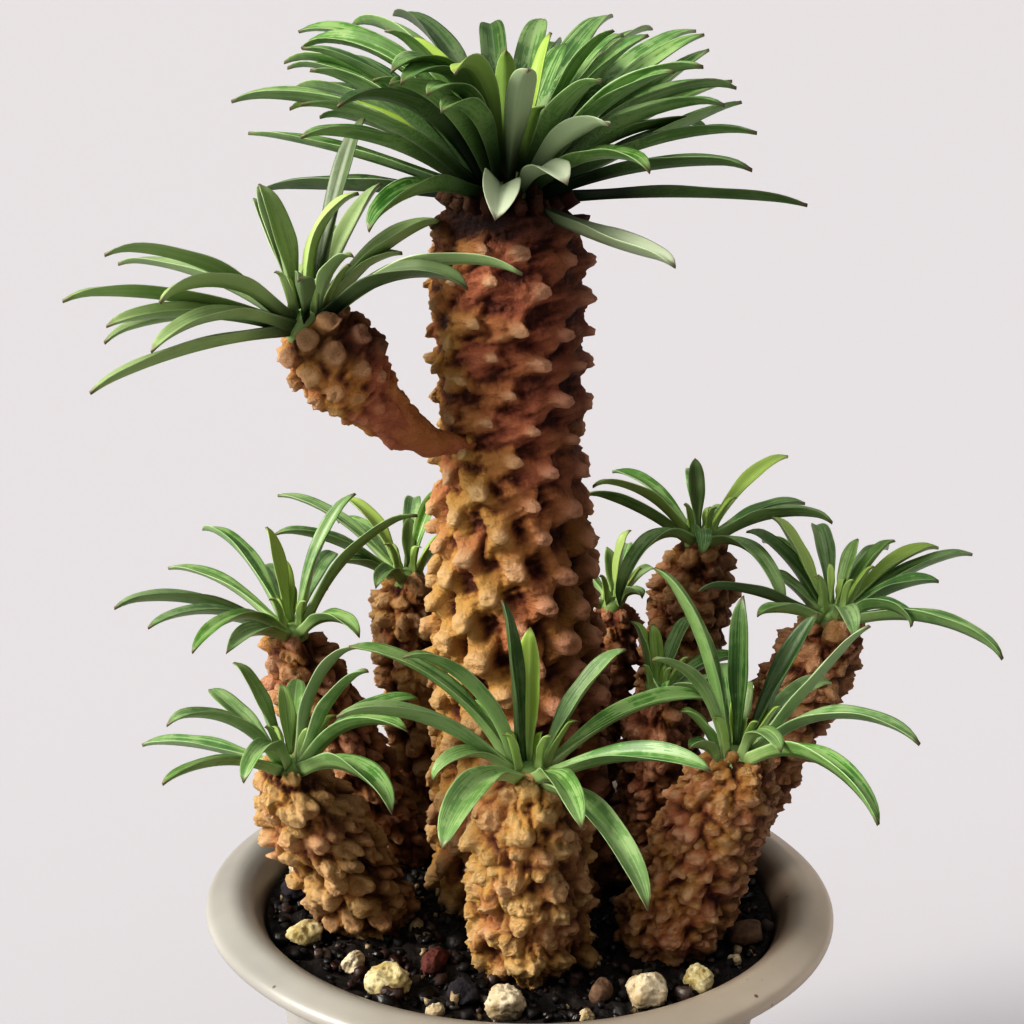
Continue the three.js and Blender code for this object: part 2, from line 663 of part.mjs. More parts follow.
const group = new THREE.Group();
const bark = material(COLOURS.bark, 0.85);
const green = material(COLOURS.leaf, 0.5);
const upright = new THREE.Vector3(0, 0, 1);
const stones = STONES.map((lump, n) => ({ ...lump, seed: n + 1 }));
const offsets = Object.entries(OFFSETS).map(([name, place], n) => ({ ...OFFSET, ...place, name, seed: n + 2 }));

group.add(meshOf("pot", pot(), material(COLOURS.glaze, 0.35)));
group.add(meshOf("soil", soil([TRUNK, ...offsets], stones), material(COLOURS.soil, 0.95)));

const trunk = wasm.Manifold.union([tubercled(levelRings(TRUNK), TRUNK), branch()]);
group.add(meshOf("trunk", oneBody(trunk), bark));
const crown = [...LEAVES.crown, ...innerLeaves(10, 1)];
const crownLeaves = rosette(new THREE.Vector3(...TRUNK.top), upright, TRUNK.bud, crown, 1);
group.add(meshOf("crown_leaves", crownLeaves, green));
const branchEnd = branchCurve().getPoint(1);
const branchWay = branchCurve().getTangent(1);
const branchLeaves = rosette(branchEnd, branchWay, BRANCH.bud, LEAVES.branch, 2);
group.add(meshOf("branch_leaves", branchLeaves, green));

for (const stem of offsets) {
  group.add(meshOf(`offset_${stem.name}`, tubercled(levelRings(stem), stem), bark));
  const top = new THREE.Vector3(...stem.top);
  const leaves = rosette(top, upright, stem.bud, LEAVES[stem.name], stem.seed);
  group.add(meshOf(`leaves_${stem.name}`, leaves, green));
}

stones.forEach((lump, n) => {
  group.add(meshOf(`stone_${n + 1}`, stone(lump, 0), material(COLOURS[lump.colour], 0.9)));
});

export default group;
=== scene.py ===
"""Potted euphorbia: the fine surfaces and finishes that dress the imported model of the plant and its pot."""

import bpy
import numpy as np
from mathutils import Matrix


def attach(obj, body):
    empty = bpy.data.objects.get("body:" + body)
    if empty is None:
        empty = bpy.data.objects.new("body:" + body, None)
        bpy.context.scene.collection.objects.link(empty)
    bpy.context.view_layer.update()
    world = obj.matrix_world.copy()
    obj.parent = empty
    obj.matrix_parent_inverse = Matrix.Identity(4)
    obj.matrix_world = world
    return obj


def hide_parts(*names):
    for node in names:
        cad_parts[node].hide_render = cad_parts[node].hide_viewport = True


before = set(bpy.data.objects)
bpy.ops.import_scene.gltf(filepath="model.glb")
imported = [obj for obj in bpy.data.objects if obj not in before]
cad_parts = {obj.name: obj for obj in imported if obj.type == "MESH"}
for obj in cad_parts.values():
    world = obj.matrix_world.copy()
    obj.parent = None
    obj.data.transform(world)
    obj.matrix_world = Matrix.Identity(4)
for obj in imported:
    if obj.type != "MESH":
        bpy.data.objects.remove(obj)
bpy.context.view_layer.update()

bl_info = {
    "name": "Potted euphorbia",
    "version": (1, 0, 0),
    "blender": (4, 5, 0),
    "location": "View3D > Sidebar > Euphorbia",
    "description": "Dresses the packed model of a potted euphorbia with fine stems, leaves, soil and glaze",
    "category": "Object",
}

# Sizes in millimetres, as in the part's own source

MM = 0.001
RIM_Z = 100
POT = {"rim": 73.5, "crest": 67, "body": 55.5, "foot": 44, "wall": 5, "floor": 7}
SOIL_Z = 94
SOIL_R = 59.4
GAP = 0.35
ROOT_SUNK = 3
BUD_SEAT = 1.8
DRAIN_R = 4.5
DRAIN_AT = 22

TRUNK = {
    "foot": (0, 8, 95.5),
    "top": (-6, 8, 257.5),
    "radii": ((0, 18.2), (0.22, 17), (0.5, 15.4), (0.67, 14.3), (0.87, 16), (1, 15.5)),
    "bud": (11, 8),
    "shoulder": 3,
    "tuck": 0,
    "step": 7.9,
    "around": 10,
    "tall": 5.2,
    "knob": 1.6,
    "fat": 0.55,
    "droop": -1.9,
    "sweep": 0.1,
    "twist": 0.05,
    "seed": 1,
    "dome": 0.28,
    "cols": 284,
}

OFFSET = {
    "shoulder": 3,
    "tuck": 1.6,
    "step": 6.3,
    "around": 8,
    "tall": 2.0,
    "knob": 1.9,
    "fat": 0,
    "droop": -0.8,
    "sweep": 0.05,
    "twist": 0.1,
    "dome": 0.4,
}

# The offsets: foot, top, radius between tubercles at the foot and at the top, growing tip, how golden they
# are, the size of their lumps and how blocky these are
OFFSETS = {
    "a": ((-31, 23, 95.5), (-55.5, 20, 151), 7.5, 7.5, (4.5, 4), 0.3, 4.4, 0.75),
    "b": ((-34, -11, 95.5), (-51, -22, 134), 9.5, 9, (5, 4.5), 0.85, 5.2, 0.72),
    "c": ((2, -29, 95.5), (1, -38, 140), 11.5, 10.5, (5.5, 4.5), 1.0, 5.2, 0.4),
    "d": ((33, -19, 95.5), (46.5, -22, 138), 11, 10, (5.5, 4.5), 0.5, 3.2, 0.35),
    "e": ((44, 17, 95.5), (72.5, 15, 159), 8, 8, (5, 4.5), 0.4, 4.4, 0.75),
    "f": ((32, 34, 95.5), (43, 41, 170), 7.5, 7.5, (4.5, 4), 0.4, 4.0, 0.7),
    "g": ((14, 42, 95.5), (22.5, 48, 150.5), 6, 6, (3.5, 3.5), 0.2, 3.6, 0.6),
    "h": ((-21, 40, 95.5), (-29.5, 42, 158.5), 7.5, 7.5, (4.5, 4), 0.7, 4.6, 0.75),
    "j": ((32, 6, 95.5), (31, 3, 143), 6.5, 6, (3.5, 3.5), 0.1, 3.8, 0.6),
}

BRANCH = {
    "route": ((-9, -1, 207), (-28, -9, 204), (-34, -12, 219), (-46.5, -13.5, 232.5)),
    "neck": 2.8,
    "head": 7.8,
    "smooth": 0.45,
    "around": 8,
    "rings": 6,
    "tall": 2.4,
    "droop": -0.6,
    "twist": 0.12,
    "bud": (5.5, 4.5),
    "seed": 11,
    "dome": 2.6,
    "spacing": 0.42,
    "cols": 126,
}

# Leaves of each rosette: turn about Z, rise, droop along the leaf (degrees), length, width
LEAVES = {
    "crown": (
        (165, 35, 45, 59, 6.5), (155, 14, 11, 58, 6.5), (150, 0, 5, 55, 6.5), (145, 45, 51, 61, 7),
        (149, 43, 45, 57, 7), (140, 32, 33, 59, 7), (225, 34, 30, 53, 6.5), (235, 44, 55, 55, 6.5),
        (140, 53, 60, 66, 6.5), (146, 57, 70, 60, 6.5), (131, 58, 63, 62, 7), (118, 56, 52, 61, 7),
        (97, 54, 53, 61, 7), (83, 49, 38, 61, 7), (79, 45, 40, 60, 6.5), (70, 45, 25, 61, 7),
        (65, 48, 30, 60, 7), (55, 49, 45, 64, 6.5), (45, 44, 30, 62, 7), (31, 45, 20, 52, 7),
        (40, 29, 0, 58, 7), (33, 29, 16, 57, 7), (24, 21, 0, 51, 7), (325, 19, 20, 51, 6),
        (0, 4, 10, 55, 6), (311, -14, -12, 42, 8.5), (267, 18, 50, 30, 9), (290, 30, 47, 25, 8),
        (300, 39, 28, 34, 7.5), (275, 51, 32, 41, 6.5), (245, 67, 92, 49, 6.5), (251, 59, 73, 44, 6.5),
        (255, 50, 60, 42, 6.5), (239, 67, 84, 49, 6.5), (257, 67, 82, 47, 6.5), (235, 15, 47, 40, 7),
        (320, 48, 30, 43, 7), (38, 67, 43, 40, 6.5), (40, 80, 10, 29, 5.5), (265, 86, 12, 25, 5.5),
    ),
    "branch": (
        (212, 20, 21, 49, 6.5), (220, 15, 20, 43, 6), (215, 40, 40, 45, 8), (230, 39, 61, 37, 6),
        (215, 16, 35, 41, 6), (235, 20, 45, 42, 6), (225, 0, 18, 49, 7), (145, 74, 5, 27, 8),
        (125, 59, 17, 31, 7), (20, 97, 72, 28, 7), (50, 74, 15, 43, 7), (60, 55, 15, 34, 6),
        (25, 50, 33, 33, 8), (330, 40, 55, 39, 7.5), (340, 40, 56, 48, 7.5), (19, 57, 52, 22, 6),
        (325, 72, 42, 17, 5.5), (275, 55, 43, 18, 6), (120, 54, 20, 31, 7), (80, 40, 40, 38, 7),
        (100, 20, 35, 42, 7), (155, 25, 30, 44, 7),
    ),
    "a": (
        (210, 35, 40, 43, 7), (225, 35, 45, 41, 7), (145, 30, 40, 38, 6.5), (130, 45, 55, 43, 7),
        (140, 80, 15, 23, 6), (110, 75, 15, 15, 5), (30, 80, 35, 34, 6), (345, 65, 40, 42, 6.5),
        (245, 40, 70, 39, 6.5), (255, 25, 25, 40, 6.5), (205, 30, 20, 14, 6), (80, 35, 45, 34, 7),
        (310, 40, 60, 26, 6.5), (110, 25, 40, 36, 7),
    ),
    "b": (
        (160, 70, 15, 23, 6.5), (140, 30, 15, 26, 7), (225, 55, 55, 36, 7), (160, 10, 25, 34, 6.5),
        (235, 30, 35, 38, 7), (255, 55, 100, 26, 6.5), (305, 30, 50, 41, 9), (335, 85, 50, 33, 7.5),
        (320, 65, 30, 35, 7), (315, 50, 50, 39, 7), (95, 45, 35, 22, 7), (20, 45, 45, 28, 7),
        (120, 80, 10, 15, 5.5),
    ),
    "c": (
        (150, 85, 5, 35, 7), (90, 85, 5, 28, 7.5), (185, 60, 50, 45, 7.5), (210, 70, 50, 41, 7),
        (205, 45, 45, 44, 7.5), (205, 47, 103, 21, 6.5), (246, 29, 60, 43, 10), (285, 30, 50, 36, 8),
        (295, 15, 50, 51, 8.5), (330, 30, 35, 39, 8), (25, 35, 50, 42, 7.5), (20, 65, 25, 30, 7),
        (90, 50, 40, 18, 6), (130, 45, 45, 20, 6.5),
    ),
    "d": (
        (325, 50, 75, 44, 8), (300, 35, 75, 46, 8), (60, 90, 5, 33, 7), (20, 65, 5, 33, 7.5),
        (335, 55, 0, 41, 8), (65, 70, 15, 14, 5.5), (160, 80, 30, 43, 7), (220, 70, 50, 37, 7),
        (209, 43, 45, 9, 6), (290, 62, 90, 21, 6.5), (195, 60, 25, 14, 6), (95, 50, 45, 24, 7),
        (40, 40, 50, 30, 7),
    ),
    "e": (
        (325, 20, 50, 39, 7), (320, 40, 80, 19, 6.5), (350, 40, 35, 22, 6.5), (25, 30, 30, 37, 6.5),
        (30, 40, 40, 31, 6.5), (30, 60, 25, 20, 6.5), (50, 70, 15, 16, 6), (140, 60, 15, 24, 6.5),
        (156, 57, 34, 25, 6.5), (170, 45, 20, 14, 6), (203, 29, 25, 33, 6.5), (220, 25, 25, 22, 6),
        (90, 45, 45, 30, 7), (60, 30, 40, 34, 7), (270, 35, 60, 24, 7), (115, 35, 40, 30, 7),
    ),
    "f": (
        (210, 50, 45, 34, 6), (195, 35, 20, 28, 6), (100, 75, 5, 17, 6), (40, 45, 40, 33, 6.5),
        (340, 35, 45, 31, 6.5), (15, 30, 30, 25, 6), (235, 30, 105, 39, 6.5), (297, 24, 88, 36, 7),
        (55, 47, 28, 9, 5), (90, 35, 45, 32, 6.5), (130, 40, 45, 30, 6.5), (265, 40, 80, 20, 6.5),
    ),
    "g": (
        (30, 90, 25, 17, 5.5), (50, 35, 30, 15, 5), (100, 75, 10, 12, 5), (80, 40, 45, 24, 6),
        (130, 40, 45, 24, 6), (300, 50, 60, 12, 5.5), (185, 20, 50, 12, 5),
    ),
    "h": (
        (150, 40, 40, 39, 6), (200, 40, 35, 33, 6), (145, 60, 40, 23, 6), (55, 70, 20, 21, 6),
        (85, 75, 10, 12, 5.5), (210, 35, 30, 15, 5.5), (90, 40, 45, 32, 6.5), (50, 35, 45, 30, 6.5),
        (125, 30, 45, 32, 6.5), (250, 35, 60, 16, 6),
    ),
    "j": (
        (20, 40, 50, 20, 6), (60, 55, 30, 20, 6), (100, 80, 10, 14, 5), (310, 40, 60, 16, 6),
        (270, 45, 50, 14, 5.5), (150, 80, 20, 16, 5.5), (345, 35, 45, 18, 6),
    ),
}

# Which leaves, counted from 1, are young and bright, old and dark, or seen from their pale side
YOUNG = {
    "crown": (35, 39, 40, 42, 49, 53), "branch": (4, 10), "a": (5, 6), "c": (2,), "e": (5, 8), "f": (1, 4),
    "g": (1,), "h": (3,),
}
DARK = {
    "crown": (3, 8, 12, 13, 24, 25), "branch": (11, 14, 18), "c": (1,), "d": (3, 4), "e": (9, 11), "f": (3,),
    "h": (5,),
}
PALE = {"crown": (26, 27, 28, 29, 30), "b": (8,), "d": (5,)}

# A rosette's leaf width as a share of the table's, its stalk's as a share of the leaf's, how much painted
# shade darkens its leaves at the base, and how far along them that reaches
ROSETTE = (0.68, 0.4, 0, 1)
ROSETTES = {"crown": (0.88, 0.42, 0.8, 0.55), "branch": (0.76, 0.4, 0.6, 0.3)}

# How many leaves fill the crown's inside and middle, and the gap at its front that they leave: its middle in
# degrees and the cosine of half its width
FILLING = {"inner": 10, "middle": 26, "gap": 275, "half": 0.94}

# Stones: [x, y], [length, width, height], turn about Z in degrees, kind
STONES = (
    ((-54, 13), (5, 7.5, 6), 10, "cream"),
    ((-53, 2), (8, 8.5, 6), 30, "black"),
    ((-49, -21), (9, 7, 6.5), 20, "yellow"),
    ((-37, -33), (6.5, 5, 5), 60, "cream"),
    ((-28.5, -43), (10, 9, 8.5), 0, "yellow"),
    ((-19, -33), (6, 11, 6), -20, "lava"),
    ((-12, -46), (7.5, 9, 5.5), 10, "black"),
    ((-3, -51), (9.5, 8.5, 8), 35, "cream"),
    ((-18, -53), (4.5, 3.5, 4), 0, "cream"),
    ((17.5, -44), (5, 7.5, 6), -15, "brown"),
    ((14, -54), (4, 3.5, 3.5), 40, "cream"),
    ((27, -45), (9.5, 9.5, 9), 15, "cream"),
    ((39, -39), (7, 7.5, 7), 50, "yellow"),
    ((48, -28), (3.2, 3.2, 3.2), 0, "cream"),
    ((52, -17), (10.5, 7, 6), 35, "brown"),
)

# Degrees from one leaf to the next, and the rows and columns of a blade's mesh
GOLDEN = 137.5
LEAF_ROWS = 24
LEAF_COLS = 16

# How many mesh rows are moved at once, and how far along the stem a tubercle can still move them
BLOCK = 24
NEAR = 24

# Half the floor's side in metres
FLOOR = 60

# The camera's place in millimetres, its pitch and roll in degrees, its lens and the picture's width in pixels
CAMERA = {"at": (-3.5, -423.3, 306.5), "pitch": 15.34, "roll": 1.0, "lens": 1953, "image": 1024}


# Numbers


def linear(code):
    """A linear colour with alpha from an sRGB hex code."""
    parts = [int(code[i : i + 2], 16) / 255 for i in (1, 3, 5)]
    return tuple(c / 12.92 if c <= 0.04045 else ((c + 0.055) / 1.055) ** 2.4 for c in parts) + (1.0,)


def wobble(i, k, seed):
    """A repeatable number from -1 to 1 for a place (i, k): twice the fraction of a large sine, less one."""
    s = np.sin(i * 12.9898 + k * 78.233 + seed * 37.719) * 43758.5453
    return 2 * (s - np.floor(s)) - 1


def ripple(points, size, seed, waves=10):
    """Smooth unevenness from about -1 to 1: a sum of sine waves about `size` long in seeded directions."""
    rng = np.random.default_rng(seed)
    total = np.zeros(points.shape[:-1])
    for _ in range(waves):
        way = rng.normal(size=3)
        way *= 2 * np.pi / (np.linalg.norm(way) * size * rng.uniform(0.7, 1.4))
        total += np.sin(points @ way + rng.uniform(0, 2 * np.pi))
    return total / np.sqrt(waves)


def ease(x):
    """0 below 0, 1 above 1 and the cubic 3x^2 - 2x^3 between."""
    x = np.clip(x, 0, 1)
    return x * x * (3 - 2 * x)


def columns(*values):
    """A table with these columns, each an array or one number for all its rows."""
    return np.stack(np.broadcast_arrays(*values), -1)


# Meshes


def grid_quads(rows, cols):
    """The quads of a rows by cols grid of points, closed round its columns."""
    r = np.arange(rows - 1)[:, None]
    c = np.arange(cols)[None, :]
    a = r * cols + c
    b = r * cols + (c + 1) % cols
    return np.stack([a, b, b + cols, a + cols], -1).reshape(-1, 4)


def closed(grid):
    """The points of each grid in one row, and after them the middle of its first ring and of its last."""
    flat = grid.reshape(*grid.shape[:-3], -1, grid.shape[-1])
    return np.concatenate([flat, grid[..., [0, -1], :, :].mean(-2)], -2)


def capped_tube(rings):
    """Points, quads and triangles of a closed tube: its rings, and a point in the middle of each end."""
    rows, cols = rings.shape[:2]
    c = np.arange(cols)
    d = (c + 1) % cols
    low = np.stack([d, c, np.full(cols, rows * cols)], -1)
    high = np.stack([c, d, np.full(cols, 1)], -1)
    high[:, :2] += (rows - 1) * cols
    high[:, 2] = rows * cols + 1
    return closed(rings), grid_quads(rows, cols), np.concatenate([low, high])


def many_tubes(rings):
    """One mesh's arrays from a stack of closed tubes: each tube's faces are moved on by its first point."""
    points = closed(rings)
    _, quads, tris = capped_tube(rings[0])
    count, size = points.shape[:2]
    shift = (np.arange(count) * size)[:, None, None]
    return points.reshape(-1, 3), (quads[None] + shift).reshape(-1, 4), (tris[None] + shift).reshape(-1, 3)


def new_piece(name, mesh_arrays, finish, nodes, attributes=None):
    """Puts a smooth mesh in millimetres into the scene, on the root body, standing for its CAD nodes."""
    points, quads, tris = mesh_arrays
    mesh = bpy.data.meshes.new(name)
    corners = np.concatenate([quads.ravel(), tris.ravel()]).astype(np.int32)
    starts = np.concatenate([np.arange(len(quads)) * 4, len(quads) * 4 + np.arange(len(tris)) * 3])
    mesh.vertices.add(len(points))
    mesh.vertices.foreach_set("co", (np.asarray(points) * MM).astype(np.float32).ravel())
    mesh.loops.add(len(corners))
    mesh.loops.foreach_set("vertex_index", corners)
    mesh.polygons.add(len(starts))
    mesh.polygons.foreach_set("loop_start", starts.astype(np.int32))
    mesh.update(calc_edges=True)
    mesh.validate()
    mesh.shade_smooth()
    for key, values in (attributes or {}).items():
        layer = mesh.attributes.new(key, "FLOAT_VECTOR", "POINT")
        layer.data.foreach_set("vector", np.asarray(values, np.float32).ravel())
    mesh.materials.append(finish)
    piece = bpy.data.objects.new(name, mesh)
    bpy.context.scene.collection.objects.link(piece)
    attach(piece, "root")
    if nodes:
        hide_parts(*nodes)
    return piece


# Pot and soil


def turned(profile, cols):
    """Rings of points: each [radius, height] corner of the profile turned about Z."""
    turn = np.linspace(0, 2 * np.pi, cols, endpoint=False)
    r, z = np.asarray(profile, float).T[..., None]
    return columns(r * np.cos(turn), r * np.sin(turn), z)


def rounded(corners, spacing, blur):
    """A line through the corners at even steps, rounded by averaging over `blur` millimetres of it."""
    corners = np.asarray(corners, float)
    along = np.concatenate([[0], np.cumsum(np.linalg.norm(np.diff(corners, axis=0), axis=1))])
    fine = np.arange(0, along[-1], 0.1)
    line = columns(*(np.interp(fine, along, side) for side in corners.T))
    reach = int(blur / 0.2)
    padded = np.concatenate([2 * line[0] - line[reach:0:-1], line, 2 * line[-1] - line[-2 : -reach - 2 : -1]])
    window = np.hanning(2 * reach + 1)
    window /= window.sum()
    smooth = [np.convolve(side, window, "valid") for side in padded.T]
    steps = np.arange(len(smooth[0]))
    at = np.linspace(0, steps[-1], max(2, int(along[-1] / spacing)))
    return columns(*(np.interp(at, steps, side) for side in smooth))


def arc(r, z, size, start, end, steps):
    """Corners [radius, height] along an arc about (r, z), from one angle to another in degrees."""
    a = np.radians(np.linspace(start, end, steps))
    return columns(r + size * np.cos(a), z + size * np.sin(a))


def pot_inside():
    """Corners of the pot's inside from the lip down to the floor, as in the part's source."""
    corners = (
        (POT["crest"] - 4.2, RIM_Z - 1.6),
        (POT["crest"] - 6.6, RIM_Z - 5),
        (SOIL_R + GAP, SOIL_Z - 3),
        (POT["body"] - POT["wall"] + 2, RIM_Z - 22),
        (POT["foot"], POT["floor"] + 10),
        (POT["foot"] - 6, POT["floor"]),
    )
    return np.array(corners)


def pot_rings():
    """The pot: one rounded profile, turned, up the body, round the lip and down inside to the floor."""
    outside = (
        (POT["foot"], 0),
        (POT["foot"] + 1.5, 3),
        (POT["body"] - 5, RIM_Z - 80),
        (POT["body"] - 1, RIM_Z - 52),
        (POT["body"], RIM_Z - 30),
        (POT["body"] + 1.5, RIM_Z - 20),
        (POT["body"] + 6, RIM_Z - 13),
        (POT["rim"] - 6, RIM_Z - 7.2),
    )
    body = rounded(outside, 2.2, 8)
    edge = arc(POT["rim"] - 2, RIM_Z - 3.6, 2, -100, 60, 9)
    crest = arc(POT["crest"], RIM_Z - 5, 5, 75, 125, 7)
    lip = rounded(np.concatenate([body[-3:], edge, crest, pot_inside()[:3]]), 0.8, 3)
    inside = rounded(pot_inside()[2:], 3, 8)
    foot = [(r, 0) for r in (6, 18, 30, 40)]
    floor = [(r, POT["floor"]) for r in (30, 18, 6)]
    rings = turned(np.concatenate([foot, body[:-3], lip, inside[1:], floor]), 152)
    out = rings * (1, 1, 0)
    out /= np.linalg.norm(out, axis=-1, keepdims=True)
    thrown = ripple(rings * (1, 1, 2.5), 70, 5)
    high = ease((rings[..., 2:] - 4) / 20)
    return rings + out * (0.22 * thrown[..., None]) * high


def drained(piece):
    """Cuts three plain drain holes through the pot's floor, as in the part's source."""
    for i in range(3):
        a = i * 2 * np.pi / 3 + np.pi / 2
        rings = turned(((DRAIN_R, -6), (DRAIN_R, 14)), 48)
        rings[..., 0] += DRAIN_AT * np.cos(a)
        rings[..., 1] += DRAIN_AT * np.sin(a)
        points, quads, tris = capped_tube(rings)
        cutter = bpy.data.meshes.new("drain")
        cutter.from_pydata((points * MM).tolist(), [], quads.tolist() + tris.tolist())
        post = bpy.data.objects.new("drain", cutter)
        bpy.context.scene.collection.objects.link(post)
        hole = piece.modifiers.new("drain", "BOOLEAN")
        hole.object = post
        hole.solver = "EXACT"
        bpy.context.view_layer.update()
        cut = bpy.data.meshes.new_from_object(piece.evaluated_get(bpy.context.evaluated_depsgraph_get()))
        piece.modifiers.remove(hole)
        piece.data = cut
        bpy.data.objects.remove(post)
    piece.data.name = piece.name


def roughness(x, y):
    """The soil's height over its level: two products of sines, as in the part's source."""
    coarse = np.sin(0.41 * x + 1.3) * np.cos(0.37 * y - 0.4)
    fine = np.sin(0.93 * x - 0.71 * y + 2.1) * np.cos(0.66 * x + 0.88 * y)
    return 0.7 * coarse + 0.5 * fine


def soil_top(x, y):
    """The soil's height: level, a slight crown, the rough sines, and crumbs 2 to 5 mm across."""
    r = np.hypot(x, y)
    place = columns(x, y, 0)
    crumbs = 0.55 * np.abs(ripple(place, 5, 21)) + 0.3 * np.abs(ripple(place, 2.2, 22)) - 0.4
    rim = ease((SOIL_R - r) / 3)
    return SOIL_Z + 1.2 * (1 - r / 53) + (roughness(x, y) + crumbs) * rim


def soil_rings():
    """The soil: a rough disc on a grid of turns and radii, with a plain side and bottom inside the pot."""
    cols = 300
    r = np.linspace(0.3, SOIL_R, 80)
    top = turned(columns(r, 0), cols)
    top[..., 2] = soil_top(top[..., 0], top[..., 1])
    wall = pot_inside()[2:] - (GAP, 0)
    wall[-1, 1] += GAP
    side = turned(np.concatenate([wall, [(3, POT["floor"] + GAP)]]), cols)
    return np.concatenate([side[::-1], top[::-1]])


# Stems


def straight(stem):
    """A stem's axis: centre and level ring directions at heights along its lean, and its length."""
    foot = np.array(stem["foot"], float)
    lean = np.array(stem["top"], float) - foot
    length = np.linalg.norm(lean)

    def axis(h):
        centre = foot + lean * (h / length)[:, None]
        ones = np.ones(len(h))[:, None]
        return centre, ones * (1, 0, 0), ones * (0, 1, 0), ones * (0, 0, 1)

    return axis, length


def bezier(route, t):
    """Points and directions on a cubic through its four control points."""
    a, b, c, d = np.array(route, float)
    t = t[:, None]
    place = (1 - t) ** 3 * a + 3 * (1 - t) ** 2 * t * b + 3 * (1 - t) * t**2 * c + t**3 * d
    way = 3 * (1 - t) ** 2 * (b - a) + 6 * (1 - t) * t * (c - b) + 3 * t**2 * (d - c)
    return place, way / np.linalg.norm(way, axis=1, keepdims=True)


def branch_axis():
    """The branch's axis by length along its curve and straight on past it, and the curve's own measure."""
    t = np.linspace(0, 1, 400)
    place, way = bezier(BRANCH["route"], t)
    along = np.concatenate([[0], np.cumsum(np.linalg.norm(np.diff(place, axis=0), axis=1))])

    def axis(h):
        inside = np.clip(h, 0, along[-1])
        centre, ahead = (columns(*(np.interp(inside, along, v) for v in path.T)) for path in (place, way))
        centre = centre + ahead * (h - inside)[:, None]
        across = np.cross((0, 1, 0), ahead)
        across /= np.linalg.norm(across, axis=1, keepdims=True)
        return centre, across, np.cross(ahead, across), ahead

    return axis, along, t


def side_and_dome(h, r, dome, spacing):
    """A meridian at even steps: the side's heights and radii, then a quarter of an ellipse to the middle."""
    a = np.linspace(0, np.pi / 2, 60)[1:]
    h = np.concatenate([h, h[-1] + dome * np.sin(a)])
    r = np.concatenate([r, np.maximum(r[-1] * np.cos(a), 0.25)])
    arc_at = np.concatenate([[0], np.cumsum(np.hypot(np.diff(h), np.diff(r)))])
    at = np.linspace(0, arc_at[-1], int(arc_at[-1] / spacing))
    return at, np.interp(at, arc_at, h), np.interp(at, arc_at, r)


# A tubercle's height, its knob's lean to the side and up, its reach across and up to its neighbours, how much
# longer it is behind its knob, its tilt, its knob's radius and length over width, the knob's share of its
# height, where its cone is cut off, how pale its end is, how dark the scar on it, and a colour from 0 to 1
SHAPE = {
    "tall": 0, "side": 0, "lift": 0, "across": 0, "up": 0, "back": 1, "tilt": 0, "knob": 0, "long": 1,
    "share": 0.5, "cut": 0.1, "pale": 1, "core": 0, "hue": 0.5,
}


def tubercles(turn, place, **shape):
    """One row for each tubercle: turn, place up the meridian, then the values of SHAPE."""
    return columns(turn, place, *{**SHAPE, **shape}.values())


def lattice(stem, length, at, h, r, high):
    """
    The tubercles of the part's source: staggered rings, each wound into a falling spiral that drops by one
    ring on each side of the front. `high` runs from 0 for round tubercles to 1 for ridges rising to the right.
    """
    n = stem["around"]
    count = max(4, round(length / stem["step"]))
    side = np.argmax(h)
    rows = []
    for k in range(-1, count + 2):
        i = np.arange(k % 2, 2 * n, 2)
        turn = np.pi * i / n + stem["twist"] * k + stem["sweep"] + 0.8 / n * wobble(k, i, stem["seed"] + 3)
        from_front = (turn + 1.5 * np.pi) % (2 * np.pi) - np.pi
        level = length * (k - from_front / np.pi) / count + 1.1 * wobble(i + 3, k, stem["seed"] + 21)
        place = np.interp(level, h[:side], at[:side])
        radius = np.interp(place, at, r)
        ridge = high(level)
        fat = stem["fat"] * (1 - ease((level / length - 0.38) / 0.2))
        row = tubercles(
            turn,
            place,
            tall=stem["tall"] * (1 + 0.25 * wobble(i, k, stem["seed"])) * (1 - 0.3 * ridge + 0.1 * fat),
            side=stem["sweep"] * stem["radii"][0][1] * (0.8 + 0.7 * ridge) + 0.6 * wobble(i, k, 5),
            lift=stem["droop"] * (0.9 + 0.5 * wobble(i + 9, k, stem["seed"])) * (1 - 0.8 * ridge - 0.8 * fat),
            across=np.pi * radius / n,
            up=length / count * (1 - 0.36 * ridge),
            back=1 + (1.2 + 0.5 * wobble(i, k, 17)) * ridge,
            tilt=0.3 * ridge + (0.12 + 0.15 * ridge) * wobble(i, k, 7),
            knob=stem["knob"] * (1 + 0.65 * fat - 0.2 * ridge + 0.2 * wobble(i, k, 8)),
            share=0.36 + 0.1 * ridge + 0.2 * fat,
            cut=0.24 - 0.16 * ridge + 0.3 * fat,
            pale=1 - ease((level / length - 0.93) / 0.04),
            core=0.7 * fat,
            hue=0.5 + 0.5 * wobble(i, k, 6),
        )
        rows.append(row[(level > -6) & (level < length)])
    return np.concatenate(rows)


def crowding(stem, length, at, h, r):
    """Small knobs in rings over a stem's dome, fewer towards the middle."""
    side = np.argmax(h)
    place = np.interp(length, h[:side], at[:side]) + 1
    step = stem["knob"] * 2.1
    rows = []
    while place < at[-1] - 1.5:
        m = max(3, round(2 * np.pi * np.interp(place, at, r) / step))
        i = np.arange(m)
        uneven = wobble(i, place, stem["seed"])
        row = tubercles(
            2 * np.pi * (i + 0.3 * wobble(i, place, 1)) / m,
            place,
            tall=stem["tall"] * (0.65 + 0.3 * uneven),
            across=step * 0.55,
            up=step * 0.9,
            knob=stem["knob"] * 0.66,
            share=0.65,
            pale=0,
            hue=0.5 + 0.5 * uneven,
        )
        rows.append(row)
        place += step
    return np.concatenate(rows)


